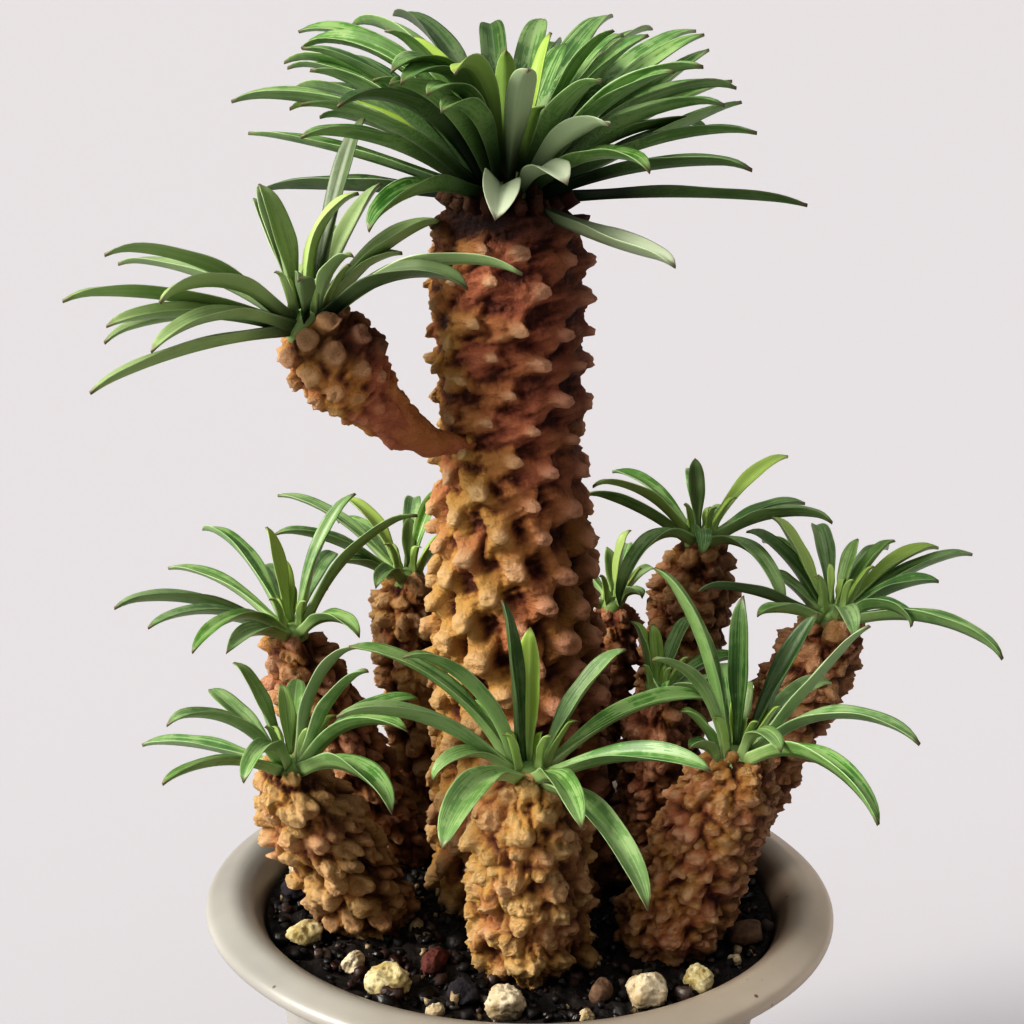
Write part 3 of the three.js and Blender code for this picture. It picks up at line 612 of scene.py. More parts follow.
def lumps(at, r, seed, size, tall, block):
    """Small lumps of uneven size strewn all over a young stem, each longer one way and leaning that way."""
    rng = np.random.default_rng(seed + 500)
    rows = []
    for level in np.arange(1, at[-1] - 1, size * 0.9):
        m = max(3, round(2 * np.pi * np.interp(level, at, r) / size))
        tilt = rng.uniform(-1.5, 1.5, m)
        lean = rng.uniform(-0.2, 0.5, m) * size * (1.1 - block)
        big = rng.uniform(0.75, 1.3, m) * size
        grown = 0.15 + 0.85 * ease((level - 4) / 8)
        row = tubercles(
            2 * np.pi * (np.arange(m) + rng.uniform(-0.38, 0.38, m)) / m,
            level + rng.uniform(-0.38, 0.38, m) * size,
            tall=tall * grown * rng.uniform(0.4, 1.15, m),
            side=lean * grown * np.cos(tilt),
            lift=(lean * np.sin(tilt) - 0.1 * size) * grown,
            across=0.62 * big,
            up=0.62 * big,
            tilt=tilt,
            knob=(0.1 + 0.32 * block) * big,
            long=rng.uniform(1.0, 2.6 - 1.6 * block, m),
            share=block,
            cut=0.08,
            core=rng.uniform(0, 0.7, m),
            hue=rng.uniform(0, 1, m),
        )
        rows.append(row)
    return np.concatenate(rows)


def relief(turn, at, r, table, star, power):
    """
    Displacement along normal, turn and meridian, and crest, knob and hue, of a block of grid points. A
    tubercle is a cone that reaches its neighbours along the diagonals but not level or straight up, so
    rounded pits are left between four. It is cut off flat, and on it stands a knob: a steep logistic of
    distance, with a dimple.
    """
    centre, place, tall, side, lift, across, up, back, tilt, knob, long, share, cut, pale, core, hue = table.T
    around = (turn[None, :, None] - centre + np.pi) % (2 * np.pi) - np.pi
    dx = around * r[:, None, None]
    dy = (at[:, None] - place)[:, None, :] + 0 * dx
    a = dx * np.cos(tilt) + dy * np.sin(tilt)
    b = dy * np.cos(tilt) - dx * np.sin(tilt)
    level = (a / (across * np.where(a < 0, back, 1))) ** 2 + 1e-6
    steep = (b / up) ** 2
    total = level + steep
    q = np.sqrt(total / 2) * (1 + star * ((level - steep) / total) ** 2)
    near = np.hypot(a / long, b) / knob
    rod = 1 / (1 + np.exp(np.clip((near - 1) / 0.12, -30, 30)))
    top = rod * (1 - 0.1 * near**2) - 0.2 * np.exp(-((near / 0.42) ** 2))
    cone = ease((1 - np.maximum(q, cut)) / (1 - cut)) ** power
    rise = share * top + (1 - share) * cone
    weight = np.exp(-8 * (q**2 - q.min(-1, keepdims=True) ** 2))
    weight /= weight.sum(-1, keepdims=True)
    swell = 0.17 * knob * np.exp(-(((near - 0.85) / 0.25) ** 2)) / (np.hypot(a, b) + 1e-6)
    over = np.maximum(rise, 0) ** 1.4
    ring = rod * (1 - 0.6 * np.exp(-((near / 0.45) ** 2)))
    crest = np.maximum(rise, 0) ** 0.85 * (1 - core * rod * np.exp(-((near / 0.7) ** 4)))
    values = (tall * rise, side * over + swell * dx, lift * over + swell * dy, crest, ring * pale, hue)
    return np.stack([(weight * v).sum(-1) for v in values], -1)


def knobbly(axis, at, h, r, layers, cols, detail):
    """
    A stem's surface on a grid of turns and meridian steps: the smooth solid of revolution about its axis,
    moved by each layer of tubercles and by the detail. Returns the points and their crest, knob and hue.
    """
    turn = np.linspace(0, 2 * np.pi, cols, endpoint=False)
    cosine, sine = np.cos(turn)[None, :, None], np.sin(turn)[None, :, None]
    centre, across, along, ahead = (v[:, None] for v in axis(h))
    slope_h = np.gradient(h, at)
    slope_r = np.gradient(r, at)
    size = np.hypot(slope_h, slope_r)
    rise = (slope_h / size)[:, None, None]
    spread = (slope_r / size)[:, None, None]
    radial = across * cosine + along * sine
    tangent = -across * sine + along * cosine
    up = spread * radial + rise * ahead
    normal = rise * radial - spread * ahead
    points = centre + radial * r[:, None, None]
    skin = np.zeros((len(at), cols, 3))
    for table, star, power, share in layers:
        out = np.zeros((len(at), cols, 6))
        for first in range(0, len(at), BLOCK):
            rows = slice(first, first + BLOCK)
            near = table[np.abs(table[:, 1] - at[rows].mean()) < NEAR]
            out[rows] = relief(turn, at[rows], r[rows], near, star, power)
        points = points + normal * out[..., :1] + tangent * out[..., 1:2] + up * out[..., 2:3]
        skin += out[..., 3:] * share
    broad, folds = detail(points)
    # ridges of the folds raise the crest and creases lower it, so creases are painted darker as painted shade
    skin[..., 0] += 0.3 * folds
    return points + normal * (broad + folds)[..., None], skin


def trunk_detail(points):
    """Old bark: broad lumps, and wrinkles that run along the ridges with sharp creases between."""
    slanted = points @ np.array([[0.3, 0, -0.4], [0, 0.3, 0], [0, 0, 1.3]])
    folds = 0.5 * np.abs(ripple(slanted, 3.0, 32)) + 0.3 * np.abs(ripple(points, 2.0, 33))
    return 0.5 * ripple(points, 9, 31), folds - 0.46


def stretched(way, more):
    """The matrix that makes distances along a unit direction longer by a share, or shorter below 0."""
    return np.eye(3) + more * np.outer(way, way)


def offset_detail(seed):
    """Young skin: broad lumps, and crumpled folds, longer down to the right, with sharp creases between."""

    def detail(points):
        drawn = points @ stretched((0.5, 0.1, -0.86), -0.65)
        folds = 0.8 * np.abs(ripple(drawn, 3.0, seed + 41)) + 0.4 * np.abs(ripple(points, 1.9, seed + 42))
        return 0.5 * ripple(points, 8, seed + 40), folds - 0.7

    return detail


def stem_radii(stem, h, length):
    """Radius between tubercles, as in the part's source: drawn in over the last two rings and at the foot."""
    shares, values = zip(*stem["radii"])
    shoulder = np.clip(h - length + 2 * stem["step"], 0, None) / (2 * stem["step"])
    foot = stem["tuck"] * (1 - ease(h / 5))
    return np.interp(h / length, shares, values) - stem["shoulder"] * shoulder**2 - foot


def stem_piece(name, stem, spacing, layers, detail, tones):
    """One upright stem from under the soil to its domed top."""
    axis, length = straight(stem)
    h = np.linspace(-5, length, 300)
    at, h, r = side_and_dome(h, stem_radii(stem, h, length), stem["dome"] * stem["radii"][-1][1], spacing)
    rings, skin = knobbly(axis, at, h, r, layers(length, at, h, r), stem["cols"], detail)
    finish_stem(name, name, rings, skin, tones)


def finish_stem(name, node, rings, skin, tones):
    """Closes a stem and gives each point its crest, redness and gold, and its knob, hue and darkness; the
    darkness is mostly painted shade.
    """
    mesh = capped_tube(rings)
    crest, knob, hue = closed(skin).T
    red, gold, painted_shade_and_tone = tones(*mesh[0].T)
    attributes = {"skin": columns(crest, red, gold), "scar": columns(knob, hue, painted_shade_and_tone)}
    new_piece(name, mesh, material("corky_stem_skin", bark), (node,), attributes)


def branch_knobs(at, h, r, along, t):
    """The branch's tubercles: staggered rings over its head, which grow from nothing where the neck ends."""
    rows = []
    for k in range(BRANCH["rings"] + 1):
        level = np.interp(BRANCH["smooth"] + (1 - BRANCH["smooth"]) * k / BRANCH["rings"], t, along)
        i = np.arange(k % 2, 2 * BRANCH["around"], 2)
        grown = 0.3 + 0.7 * ease((k - 2) / 3)
        place = np.interp(level, h, at) + 0.7 * wobble(i, k, 4)
        row = tubercles(
            np.pi * i / BRANCH["around"] + BRANCH["twist"] * k + 0.1 * wobble(k, i, 14),
            place,
            tall=BRANCH["tall"] * (1 + 0.3 * wobble(i, k, BRANCH["seed"])) * grown,
            side=0.4 * wobble(i, k, 3),
            lift=BRANCH["droop"] * (0.7 + 0.5 * wobble(i + 9, k, BRANCH["seed"])),
            across=np.pi * np.interp(place, at, r) / BRANCH["around"],
            up=5.2,
            back=1.4,
            tilt=0.5 * wobble(i, k, 9),
            knob=1.7 * (0.5 + 0.5 * grown),
            long=1.2,
            cut=0.15,
            pale=ease((k - 3) / 3),
            hue=0.5 + 0.5 * wobble(i, k, 6),
        )
        rows.append(row)
    return np.concatenate(rows)


def branch_tones(x, y, z):
    """The branch's skin: red-brown neck, and a head painted ochre where light falls on it and painted dark as
    shade on its upper right.
    """
    lit = ease((-30 - x) / 14)
    # painted light on the head's left; the third value is painted shade on its upper right
    return 0.95 - 0.8 * lit, 0.4 * lit, 0.8 * ease((z - 224) / 8) * ease((x + 58) / 16)


def branch_piece():
    """The side branch: a smooth horn that grows from the trunk's side to a knobbly head."""
    axis, along, t = branch_axis()
    h = np.linspace(0, along[-1], 240)
    share = np.interp(h, along, t)
    r = BRANCH["neck"] + (BRANCH["head"] - BRANCH["neck"]) * np.minimum(1, (share / 0.78) ** 1.8)
    r = r + 1.2 * ease((share - 0.5) / 0.35) - 1.6 * ease((share - 0.9) / 0.1)
    r = r * (0.5 + 0.5 * ease(h / 16))
    at, h, r = side_and_dome(h, r, BRANCH["dome"], BRANCH["spacing"])

    def detail(points):
        grown = ease((np.linspace(0, at[-1], len(points)) - 22) / 12)[:, None]
        drawn = points @ stretched((-0.6, -0.2, 0.77), 1.1)
        folds = 0.6 * np.abs(ripple(drawn, 5.0, 61)) + 0.2 * np.abs(ripple(points, 1.7, 63))
        return 0.3 * ripple(points, 6, 62), (folds - 0.4) * (0.15 + 0.85 * grown)

    layers = [(branch_knobs(at, h, r, along, t), 0.3, 1.3, 1)]
    rings, skin = knobbly(axis, at, h, r, layers, BRANCH["cols"], detail)
    head = ease((at - 20) / 20)[:, None]
    skin[..., 0] = 0.42 + (skin[..., 0] - 0.42) * head
    finish_stem("branch", "trunk", rings, skin, branch_tones)


# Leaves


def inner_leaves(count, seed):
    """The crown's inner leaves, a golden angle apart: upright in the middle, lower outwards."""
    j = np.arange(count)
    out = np.sqrt((j + 0.5) / count)
    rise = 86 - 46 * out + 6 * wobble(j, 2, seed)
    length = 30 + 20 * out + 3 * wobble(j, 3, seed)
    return columns(j * GOLDEN, rise, 30 + 15 * out, length, 6.5)


def middle_leaves(count, seed):
    """Leaves between the crown's outer and inner ones, a golden angle apart: lower and longer outwards."""
    j = np.arange(count)
    out = (j + 0.5) / count
    turn = 70 + j * GOLDEN + 12 * wobble(j, 6, seed)
    rise = 68 - 44 * out + 5 * wobble(j, 4, seed)
    length = 34 + 12 * out + 3 * wobble(j, 5, seed)
    return columns(turn, rise, 34 + 10 * wobble(j, 7, seed), length, 6.8)


def leaf_outline(s, stalk):
    """Half width as a share of the widest: a narrow stalk, an eased swell, and a pointed tip past 66 %."""
    swell = stalk + (1 - stalk) * ease((s - 0.05) / 0.5)
    past = np.clip((s - 0.66) / 0.34, 0, 1)
    return swell * (1 - past**2.3) ** 0.7


def leaf_blades(centre, bud, rows, roll, stalk, seed):
    """
    Closed blades, one for each row. The midrib starts on the growing tip and bends down by droop times the
    share of length to the power 1.3. Across it the blade is a thin ellipse whose middle is folded into a V,
    with a keel under the midrib, a groove over it, a slight wave along the margins and a hook at the tip.
    """
    rng = np.random.default_rng(seed + 100)
    turn, rise, droop = np.radians(rows[:, :3]).T
    length, width = rows[:, 3:].T
    count = len(rows)
    ahead = columns(np.cos(turn), np.sin(turn), 0)
    upright = np.array((0, 0, 1.0))
    place = rise[:, None] * 0.8
    root = centre + bud[0] * np.cos(place) * ahead + bud[1] * np.sin(place) * upright

    def headings(at):
        pitch = (rise[:, None] - droop[:, None] * at**1.3)[..., None]
        return np.cos(pitch) * ahead[:, None] + np.sin(pitch) * upright

    s = np.linspace(0, 1, LEAF_ROWS + 1)
    moves = headings((s[1:] + s[:-1]) / 2) * (length / LEAF_ROWS)[:, None, None]
    rib = root[:, None] + np.concatenate([np.zeros((count, 1, 3)), np.cumsum(moves, 1)], 1)
    way = headings(s)
    flat = columns(-np.sin(turn), np.cos(turn), 0)[:, None]
    bend = rng.normal(size=(count, 1, 1)) * 0.022 * length[:, None, None]
    rib = rib + flat * bend * (s**2)[None, :, None]
    rolled = np.radians(roll)[:, None] + rng.normal(size=(count, 1)) * 0.16 * s**1.5
    side = flat * np.cos(rolled)[..., None] + np.cross(way, flat) * np.sin(rolled)[..., None]
    up = np.cross(way, side)
    rib[:, 0] -= way[:, 0] * ROOT_SUNK
    hook = -1.3 * np.clip((s - 0.86) / 0.14, 0, 1) ** 2
    rib = rib + up * hook[None, :, None] * rng.uniform(0.2, 1, (count, 1, 1))
    return blade_rings(rib, side, up, width, leaf_outline(s, stalk), s, rng)


def blade_rings(rib, side, up, width, outline, s, rng):
    """Rings round each midrib, and each point's place: across, along and on the under or upper side."""
    count = len(rib)
    c = np.linspace(0, 2 * np.pi, LEAF_COLS, endpoint=False)
    v, k = np.cos(c), np.sin(c)
    half = np.maximum((width / 2)[:, None] * outline[None], 0.12)
    thick = 0.75 - 0.35 * s + 0.5 * (1 - s) ** 6
    fold = (0.95 - 0.4 * s)[None] * rng.uniform(0.6, 1.3, (count, 1))
    wave = rng.uniform(0, 6.28, (count, 1)) + s[None] * rng.uniform(9, 15, (count, 1))
    lens = thick[None, :, None] * k * (1 - 0.3 * v**2)
    trough = (fold * half)[..., None] * np.abs(v) ** 1.12
    keel = np.where(k < 0, -0.35, -0.16) * np.exp(-((v / 0.16) ** 2)) * (1 - s)[None, :, None] ** 0.7
    ruffle = (0.09 * half * np.sin(wave) * (s * (1 - s) * 4)[None])[..., None] * np.sign(v) * v**2
    across = (half[..., None] * v)[..., None]
    lift = (lens + trough + keel + ruffle)[..., None]
    rings = rib[:, :, None] + side[:, :, None] * across + up[:, :, None] * lift
    return rings, columns(v, s[:, None], k) + 0 * rings


def leaf_tones(name, rows):
    """Each leaf's youth, darkness and paleness from 0 to 1."""
    count = len(rows)
    n = np.arange(1, count + 1)
    rng = np.random.default_rng(len(name) + ord(name[0]) + count)
    yellower = 1.0 * (name == "branch")
    marks, most = (0.9, 0.08) if name == "crown" else (0.4, 0.18)
    short = np.clip((30 - rows[:, 3]) / 30, 0, 1) * np.clip((rows[:, 1] - 50) / 40, 0, 1)
    young = np.maximum(np.isin(n, YOUNG.get(name, ())) * 0.9, short) + 0.3 * yellower
    dark = np.isin(n, DARK.get(name, ())) * 0.5 + rng.uniform(0, 0.2, count)
    pale = np.isin(n, PALE.get(name, ())) * marks + rng.uniform(0, most, count) + 0.2 * yellower
    return columns(np.clip(young + rng.uniform(0, 0.15, count), 0, 1), dark, pale)


def rosette_piece(name, node, centre, bud, way, rows, seed):
    """A rosette: its leaves, a tuft of the youngest ones in the middle, and the growing tip under them."""
    rows = np.asarray(rows, float)
    wide, stalk, shade, reach = ROSETTES.get(name, ROSETTE)
    tuft = np.arange(6)
    small = columns(tuft * GOLDEN + 40, 84 - 4 * tuft, 8, bud[1] * (1.3 + 0.25 * tuft), bud[0] * 0.55)
    every = np.concatenate([rows, small])
    tones = leaf_tones(name, every)
    tones[len(rows) :, 0] = 0.95
    every[:, 4] *= wide
    roll = np.concatenate([12 * wobble(np.arange(len(rows)), 1, seed), 0 * tuft])
    rings, place = leaf_blades(centre, bud, every, roll, stalk, seed)
    points, quads, tris = many_tubes(rings)
    place = closed(place).reshape(-1, 3)
    tone = np.repeat(tones, len(points) // len(every), 0)
    # painted shade: leaves darken towards their bases deep in the crown and the branch's rosette
    tone[:, 1] += shade * (1 - ease(place[:, 1] / reach))
    dome, dome_quads, dome_tris = growing_tip(centre, bud, way)
    joins = ((points, dome), (quads, dome_quads + len(points)), (tris, dome_tris + len(points)))
    mesh = [np.concatenate(join) for join in joins]
    attributes = {
        "blade": np.concatenate([place, np.tile((0.4, 0.1, 1.0), (len(dome), 1))]),
        "tone": np.concatenate([tone, np.tile((0.35, 0.3, 0.1), (len(dome), 1))]),
    }
    new_piece(node, mesh, material("waxy_leaf", leaf), (node,), attributes)


def growing_tip(centre, bud, way):
    """A low dome across the stem's top: a quarter ellipse turned about the stem's direction."""
    a = np.radians(np.linspace(-20, 88, 12))
    rings = turned(columns(bud[0] * 0.86 * np.cos(a), bud[1] * 0.86 * np.sin(a)), 28)
    rings[0, :, 2] = -BUD_SEAT
    across = np.cross((0, 1, 0), way)
    across /= np.linalg.norm(across)
    return capped_tube(rings @ np.stack([across, np.cross(way, across), way]) + centre)


# Stones and grit


def lump(rows, cols):
    """A unit sphere's rings without its poles, from the bottom up."""
    tilt = np.linspace(-np.pi / 2, np.pi / 2, rows + 2)[1:-1]
    return turned(columns(np.cos(tilt), np.sin(tilt)), cols)


def spun(points, turn, x, y, z):
    """Points turned about Z and moved to a place."""
    a, b, c = np.moveaxis(points, -1, 0)
    return columns(a * np.cos(turn) - b * np.sin(turn) + x, a * np.sin(turn) + b * np.cos(turn) + y, c + z)


def stone_rings(size, turn, at, seed, rough):
    """A weathered stone: a sphere cut by seeded planes, pitted by ripples, then scaled, turned and seated."""
    ball = lump(26, 40)
    rng = np.random.default_rng(seed + 300)
    cuts = rng.normal(size=(9, 3))
    cuts /= np.linalg.norm(cuts, axis=1, keepdims=True)
    over = np.maximum(ball @ cuts.T - rng.uniform(0.72, 0.95, 9), 0)
    ball = ball - (over[..., None] * cuts).sum(-2) * 0.8
    pits = np.abs(ripple(ball, 0.75, seed + 310)) * 0.9 + 0.5 * np.abs(ripple(ball, 0.35, seed + 311))
    ball = ball * (1.02 + rough * (0.35 - pits) + 0.06 * ripple(ball, 1.8, seed + 312))[..., None]
    return spun(ball * (np.array(size) / 2), np.radians(turn), *at, SOIL_Z + size[2] * 0.28)


def grit_arrays(count, seed):
    """Grains 1 to 3.5 mm across strewn on the soil between the stems, each an uneven lump of a few faces."""
    rng = np.random.default_rng(seed)
    r = SOIL_R * np.sqrt(rng.uniform(0, 1, count * 3)) * 0.985
    turn = rng.uniform(0, 2 * np.pi, count * 3)
    x, y = r * np.cos(turn), r * np.sin(turn)
    taken = [(TRUNK["foot"], 20)] + [(offset[0], offset[2] + 1.5) for offset in OFFSETS.values()]
    taken += [(at, 0.42 * max(size)) for at, size, _, _ in STONES]
    free = np.ones(len(x), bool)
    for foot, reach in taken:
        free &= np.hypot(x - foot[0], y - foot[1]) > reach
    x, y = x[free][:count], y[free][:count]
    n = len(x)
    size = rng.uniform(0.45, 1.7, n) ** 1.2 * np.where(rng.uniform(0, 1, n) < 0.05, 1.9, 1)
    ball = lump(3, 6)
    shapes = ball * (1 + 0.22 * rng.normal(size=(n,) + ball.shape[:2] + (1,)))
    shapes = shapes * rng.uniform(0.65, 1.15, (n, 1, 1, 3)) * size[:, None, None, None]
    spin = rng.uniform(0, 2 * np.pi, n)
    place = (v[:, None, None] for v in (spin, x, y, soil_top(x, y) + size * 0.3))
    mesh = many_tubes(spun(shapes, *place))
    grain = columns(rng.choice(4, n, p=(0.62, 0.2, 0.1, 0.08)) / 3, rng.uniform(0, 1, n), 0)
    return mesh, np.repeat(grain, len(mesh[0]) // n, 0)


# Materials


def add(tree, kind, inputs=None, stops=(), **settings):
    """Adds a node: its settings, its inputs as values or sockets to link, and a ramp's stops."""
    node = tree.nodes.new(kind)
    for key, value in settings.items():
        setattr(node, key, value)
    for key, value in (inputs or {}).items():
        if isinstance(value, bpy.types.NodeSocket):
            tree.links.new(value, node.inputs[key])
        else:
            node.inputs[key].default_value = value
    if stops:
        elements = node.color_ramp.elements
        while len(elements) < len(stops):
            elements.new(0.5)
        for element, (place, colour) in zip(elements, stops):
            element.position = place
            element.color = tint(colour)
    return node


def tint(value):
    """A hex code or a grey number as a linear colour. A colour or a socket stays as it is."""
    if isinstance(value, str):
        return linear(value)
    return (value, value, value, 1.0) if isinstance(value, (int, float)) else value


def ramp(tree, value, *stops):
    """The colour that a ramp gives for a value."""
    return add(tree, "ShaderNodeValToRGB", {"Fac": value}, stops).outputs["Color"]


def fitted(tree, value, low, high, start=0, end=1):
    """A value moved from the range start to end onto the range low to high, and held inside it."""
    inputs = {"Value": value, "From Min": start, "From Max": end, "To Min": low, "To Max": high}
    return add(tree, "ShaderNodeMapRange", inputs).outputs[0]


def reckon(tree, operation, a, b=0.5, clamp=False):
    """Two values joined by an operation."""
    return add(tree, "ShaderNodeMath", {0: a, 1: b}, operation=operation, use_clamp=clamp).outputs[0]


def mixed(tree, share, a, b, blend="MIX"):
    """Two colours mixed by the second one's share."""
    inputs = {"Factor": share, 6: tint(a), 7: tint(b)}
    return add(tree, "ShaderNodeMix", inputs, data_type="RGBA", blend_type=blend).outputs[2]


def noise(tree, place, scale, detail, rough=0.5):
    """Smooth noise from 0 to 1, about `scale` blots to the metre."""
    inputs = {"Vector": place, "Scale": scale, "Detail": detail, "Roughness": rough}
    return add(tree, "ShaderNodeTexNoise", inputs).outputs["Fac"]


def cells(tree, place, scale):
    """Round cells, `scale` to the metre: each point's distance to a cell's middle, and that cell's colour."""
    return add(tree, "ShaderNodeTexVoronoi", {"Vector": place, "Scale": scale}).outputs


def bumped(tree, height, strength, depth, **inputs):
    """A normal bent by a height, `depth` metres deep."""
    inputs = {"Height": height, "Strength": strength, "Distance": depth, **inputs}
    return add(tree, "ShaderNodeBump", inputs).outputs[0]


def numbers(tree, key):
    """The three numbers of a mesh attribute."""
    vector = add(tree, "ShaderNodeAttribute", attribute_name=key).outputs["Vector"]
    return add(tree, "ShaderNodeSeparateXYZ", {0: vector}).outputs


def material(name, surface, *settings):
    """The material of this name, made once: `surface` adds its nodes and gives the shader's inputs."""
    made = bpy.data.materials.get(name)
    if made is None:
        made = bpy.data.materials.new(name)
        made.use_nodes = True
        tree = made.node_tree
        tree.nodes.clear()
        place = add(tree, "ShaderNodeTexCoord").outputs["Object"]
        shader = add(tree, "ShaderNodeBsdfPrincipled", surface(tree, place, *settings))
        add(tree, "ShaderNodeOutputMaterial", {"Surface": shader.outputs[0]})
    return made


def glaze(tree, place):
    """
    Glazed stoneware: a milky beige glaze dipped over clay and fired. It lies a little unevenly, so its tone
    drifts over 30 mm and it shines softly, with a few iron specks burnt through where it is thin. The inside
    of the lip has a brown stain on its right, partly dirt and partly painted shade. The glaze is painted a
    little darker on the lit left, darker and warmer at the front, and lighter and warmer on the shaded right,
    as painted warm bounce light.
    """
    drift = noise(tree, place, 30, 3)
    colour = ramp(tree, drift, (0.3, "#94938D"), (0.7, "#A4A39D"))
    speck = ramp(tree, cells(tree, place, 300)["Distance"], (0.1, 1), (0.17, 0))
    thin = ramp(tree, noise(tree, place, 90, 2), (0.63, 0), (0.68, 1))
    colour = mixed(tree, reckon(tree, "MULTIPLY", speck, thin), colour, "#5A4638")
    x, y, z = add(tree, "ShaderNodeSeparateXYZ", {0: place}).outputs
    flat = add(tree, "ShaderNodeCombineXYZ", {0: x, 1: y}).outputs[0]
    away = add(tree, "ShaderNodeVectorMath", {0: flat}, operation="LENGTH").outputs["Value"]
    edge = reckon(tree, "ADD", away, fitted(tree, drift, -0.006, 0.006))
    within = fitted(tree, edge, 0, 0.85, 0.066, 0.058)
    inside = reckon(tree, "MULTIPLY", within, fitted(tree, z, 0, 1, 0.087, 0.092))
    right = fitted(tree, x, 0, 1, -0.07, 0.07)
    # brown stain inside the lip, kept to its right: partly dirt, partly painted shade
    colour = mixed(tree, reckon(tree, "MULTIPLY", inside, right), colour, "#6A5444")
    # painted light by side: a little darker on the lit left, darker and warmer at the front, lighter and
    # warmer on the shaded right as painted warm bounce light
    tones = ((0.5, (0.86, 0.76, 0.68, 1)), (0.75, (0.95, 0.84, 0.75, 1)), (1.0, (1.5, 1.34, 1.2, 1)))
    painted_side_light = ramp(tree, right, (0.1, 0.88), *tones)
    return {
        "Base Color": mixed(tree, 1.0, colour, painted_side_light, "MULTIPLY"),
        "Roughness": fitted(tree, drift, 0.3, 0.44),
        "IOR": 1.5,
        "Normal": bumped(tree, noise(tree, place, 260, 2), 0.12, 0.0004),
    }


# Skin colours from the pits to the ends of the knobs: ochre, red-brown and golden; the dark low end is painted
# shade in the pits
SKINS = (
    ((0.0, "#47200E"), (0.18, "#82562C"), (0.38, "#B0803E"), (0.65, "#B8894C"), (0.95, "#BA9466")),
    ((0.0, "#4C2218"), (0.14, "#7A4632"), (0.34, "#A0644A"), (0.62, "#B47858"), (0.95, "#C09678")),
    ((0.0, "#48220E"), (0.18, "#885E32"), (0.38, "#BA9252"), (0.62, "#BA985E"), (0.95, "#BEA06C")),
)


def bark(tree, place):
    """
    Living stem skin of a succulent: a dry, corky epidermis. Knobs are rubbed pale and slopes are ochre to
    red-brown. The pits and creases are painted dark as painted shade, and a further painted shade darkens the
    side away from the light and the trunk's top under the crown; less golden offsets are also darker in tone.
    It is matt, with wrinkles half a millimetre wide.
    """
    crest, red, gold = numbers(tree, "skin")
    knob, hue, painted_shade_and_tone = numbers(tree, "scar")
    mottle = fitted(tree, noise(tree, place, 260, 6, 0.7), -0.18, 0.18)
    height = reckon(tree, "ADD", crest, mottle)
    # the ramps paint the pits and creases dark, as painted shade
    ochre_skin, red_skin, gold_skin = (ramp(tree, height, *stops) for stops in SKINS)
    drift = fitted(tree, noise(tree, place, 65, 3), -0.55, 0.55)
    varied = reckon(tree, "ADD", drift, fitted(tree, hue, -0.52, 0.58))
    redder = reckon(tree, "ADD", red, varied, clamp=True)
    colour = mixed(tree, redder, mixed(tree, gold, ochre_skin, gold_skin), red_skin)
    end = reckon(tree, "MULTIPLY", knob, fitted(tree, gold, 0.7, 0.35))
    colour = mixed(tree, end, colour, mixed(tree, gold, "#D09C84", "#DCC298"))
    # painted shade, lighter on knob ends: the side away from the light, the trunk's top under the crown, and
    # on offsets also a darker tone of their own
    painted_shade_mix = reckon(tree, "MULTIPLY", painted_shade_and_tone, fitted(tree, knob, 1.0, 0.4))
    inputs = {"Vector": place, "Rotation": (0, 0.3, 0), "Scale": (0.35, 0.35, 1.2)}
    streaks = noise(tree, add(tree, "ShaderNodeMapping", inputs).outputs[0], 620, 4, 0.6)
    grain = reckon(tree, "ADD", streaks, noise(tree, place, 900, 5, 0.7))
    return {
        # the painted shade's colour, multiplied over the skin
        "Base Color": mixed(tree, 1.0, colour, mixed(tree, painted_shade_mix, 1, "#64504C"), "MULTIPLY"),
        "Roughness": 0.62,
        "IOR": 1.42,
        "Normal": bumped(tree, grain, 0.9, 0.0014),
    }


def leaf(tree, place):
    """
    Succulent leaf: a firm blade under a thin wax, deep green above and grey-green beneath, with a pale midrib
    and a pale cartilage line along the margin. Young leaves are yellow-green and old ones dark. The base of
    each is paler than its blade, or in the crown and the branch's rosette painted darker as painted shade. The
    tip is a brown thorn. Wax gives a soft satin gloss.
    """
    across, along, over = numbers(tree, "blade")
    young, dark, pale = numbers(tree, "tone")
    lane = {0: across, 1: along, 2: reckon(tree, "MULTIPLY", dark, 40)}
    drawn = {"Vector": add(tree, "ShaderNodeCombineXYZ", lane).outputs[0], "Scale": (5, 0.7, 1)}
    veins = noise(tree, add(tree, "ShaderNodeMapping", drawn).outputs[0], 1.6, 3, 0.6)
    cloud = reckon(tree, "ADD", noise(tree, place, 120, 4, 0.6), veins)
    colour = ramp(tree, cloud, (0.75, "#28541A"), (1.0, "#467A2A"), (1.25, "#7A9860"))
    beneath = reckon(tree, "MULTIPLY", fitted(tree, over, 0, 1, 0.1, -0.1), 0.45)
    aside = reckon(tree, "ABSOLUTE", across)
    rib = ramp(tree, aside, (0.02, 0.6), (0.1, 0))
    base = fitted(tree, along, 0, 0.6, 0.35, 0.06)
    layers = (
        (young, "#9AB452"),
        (pale, "#C8D2B8"),
        (beneath, "#7E9E66"),
        (reckon(tree, "MULTIPLY", rib, fitted(tree, along, 1.0, 0.25)), "#B4CC96"),
        (ramp(tree, aside, (0.94, 0), (0.99, 0.5)), "#C5D6B0"),
        # old dark leaves, and painted shade at the bases in the crown and branch
        (dark, "#12280F"),
        (reckon(tree, "SUBTRACT", base, dark, clamp=True), "#A6BE84"),
        (fitted(tree, along, 0, 0.85, 0.95, 1.0), "#5B4636"),
    )
    for share, paint in layers:
        colour = mixed(tree, share, colour, paint)
    return {
        "Base Color": colour,
        "Roughness": 0.42,
        "IOR": 1.42,
        "Normal": bumped(tree, noise(tree, place, 700, 3), 0.15, 0.0003),
    }


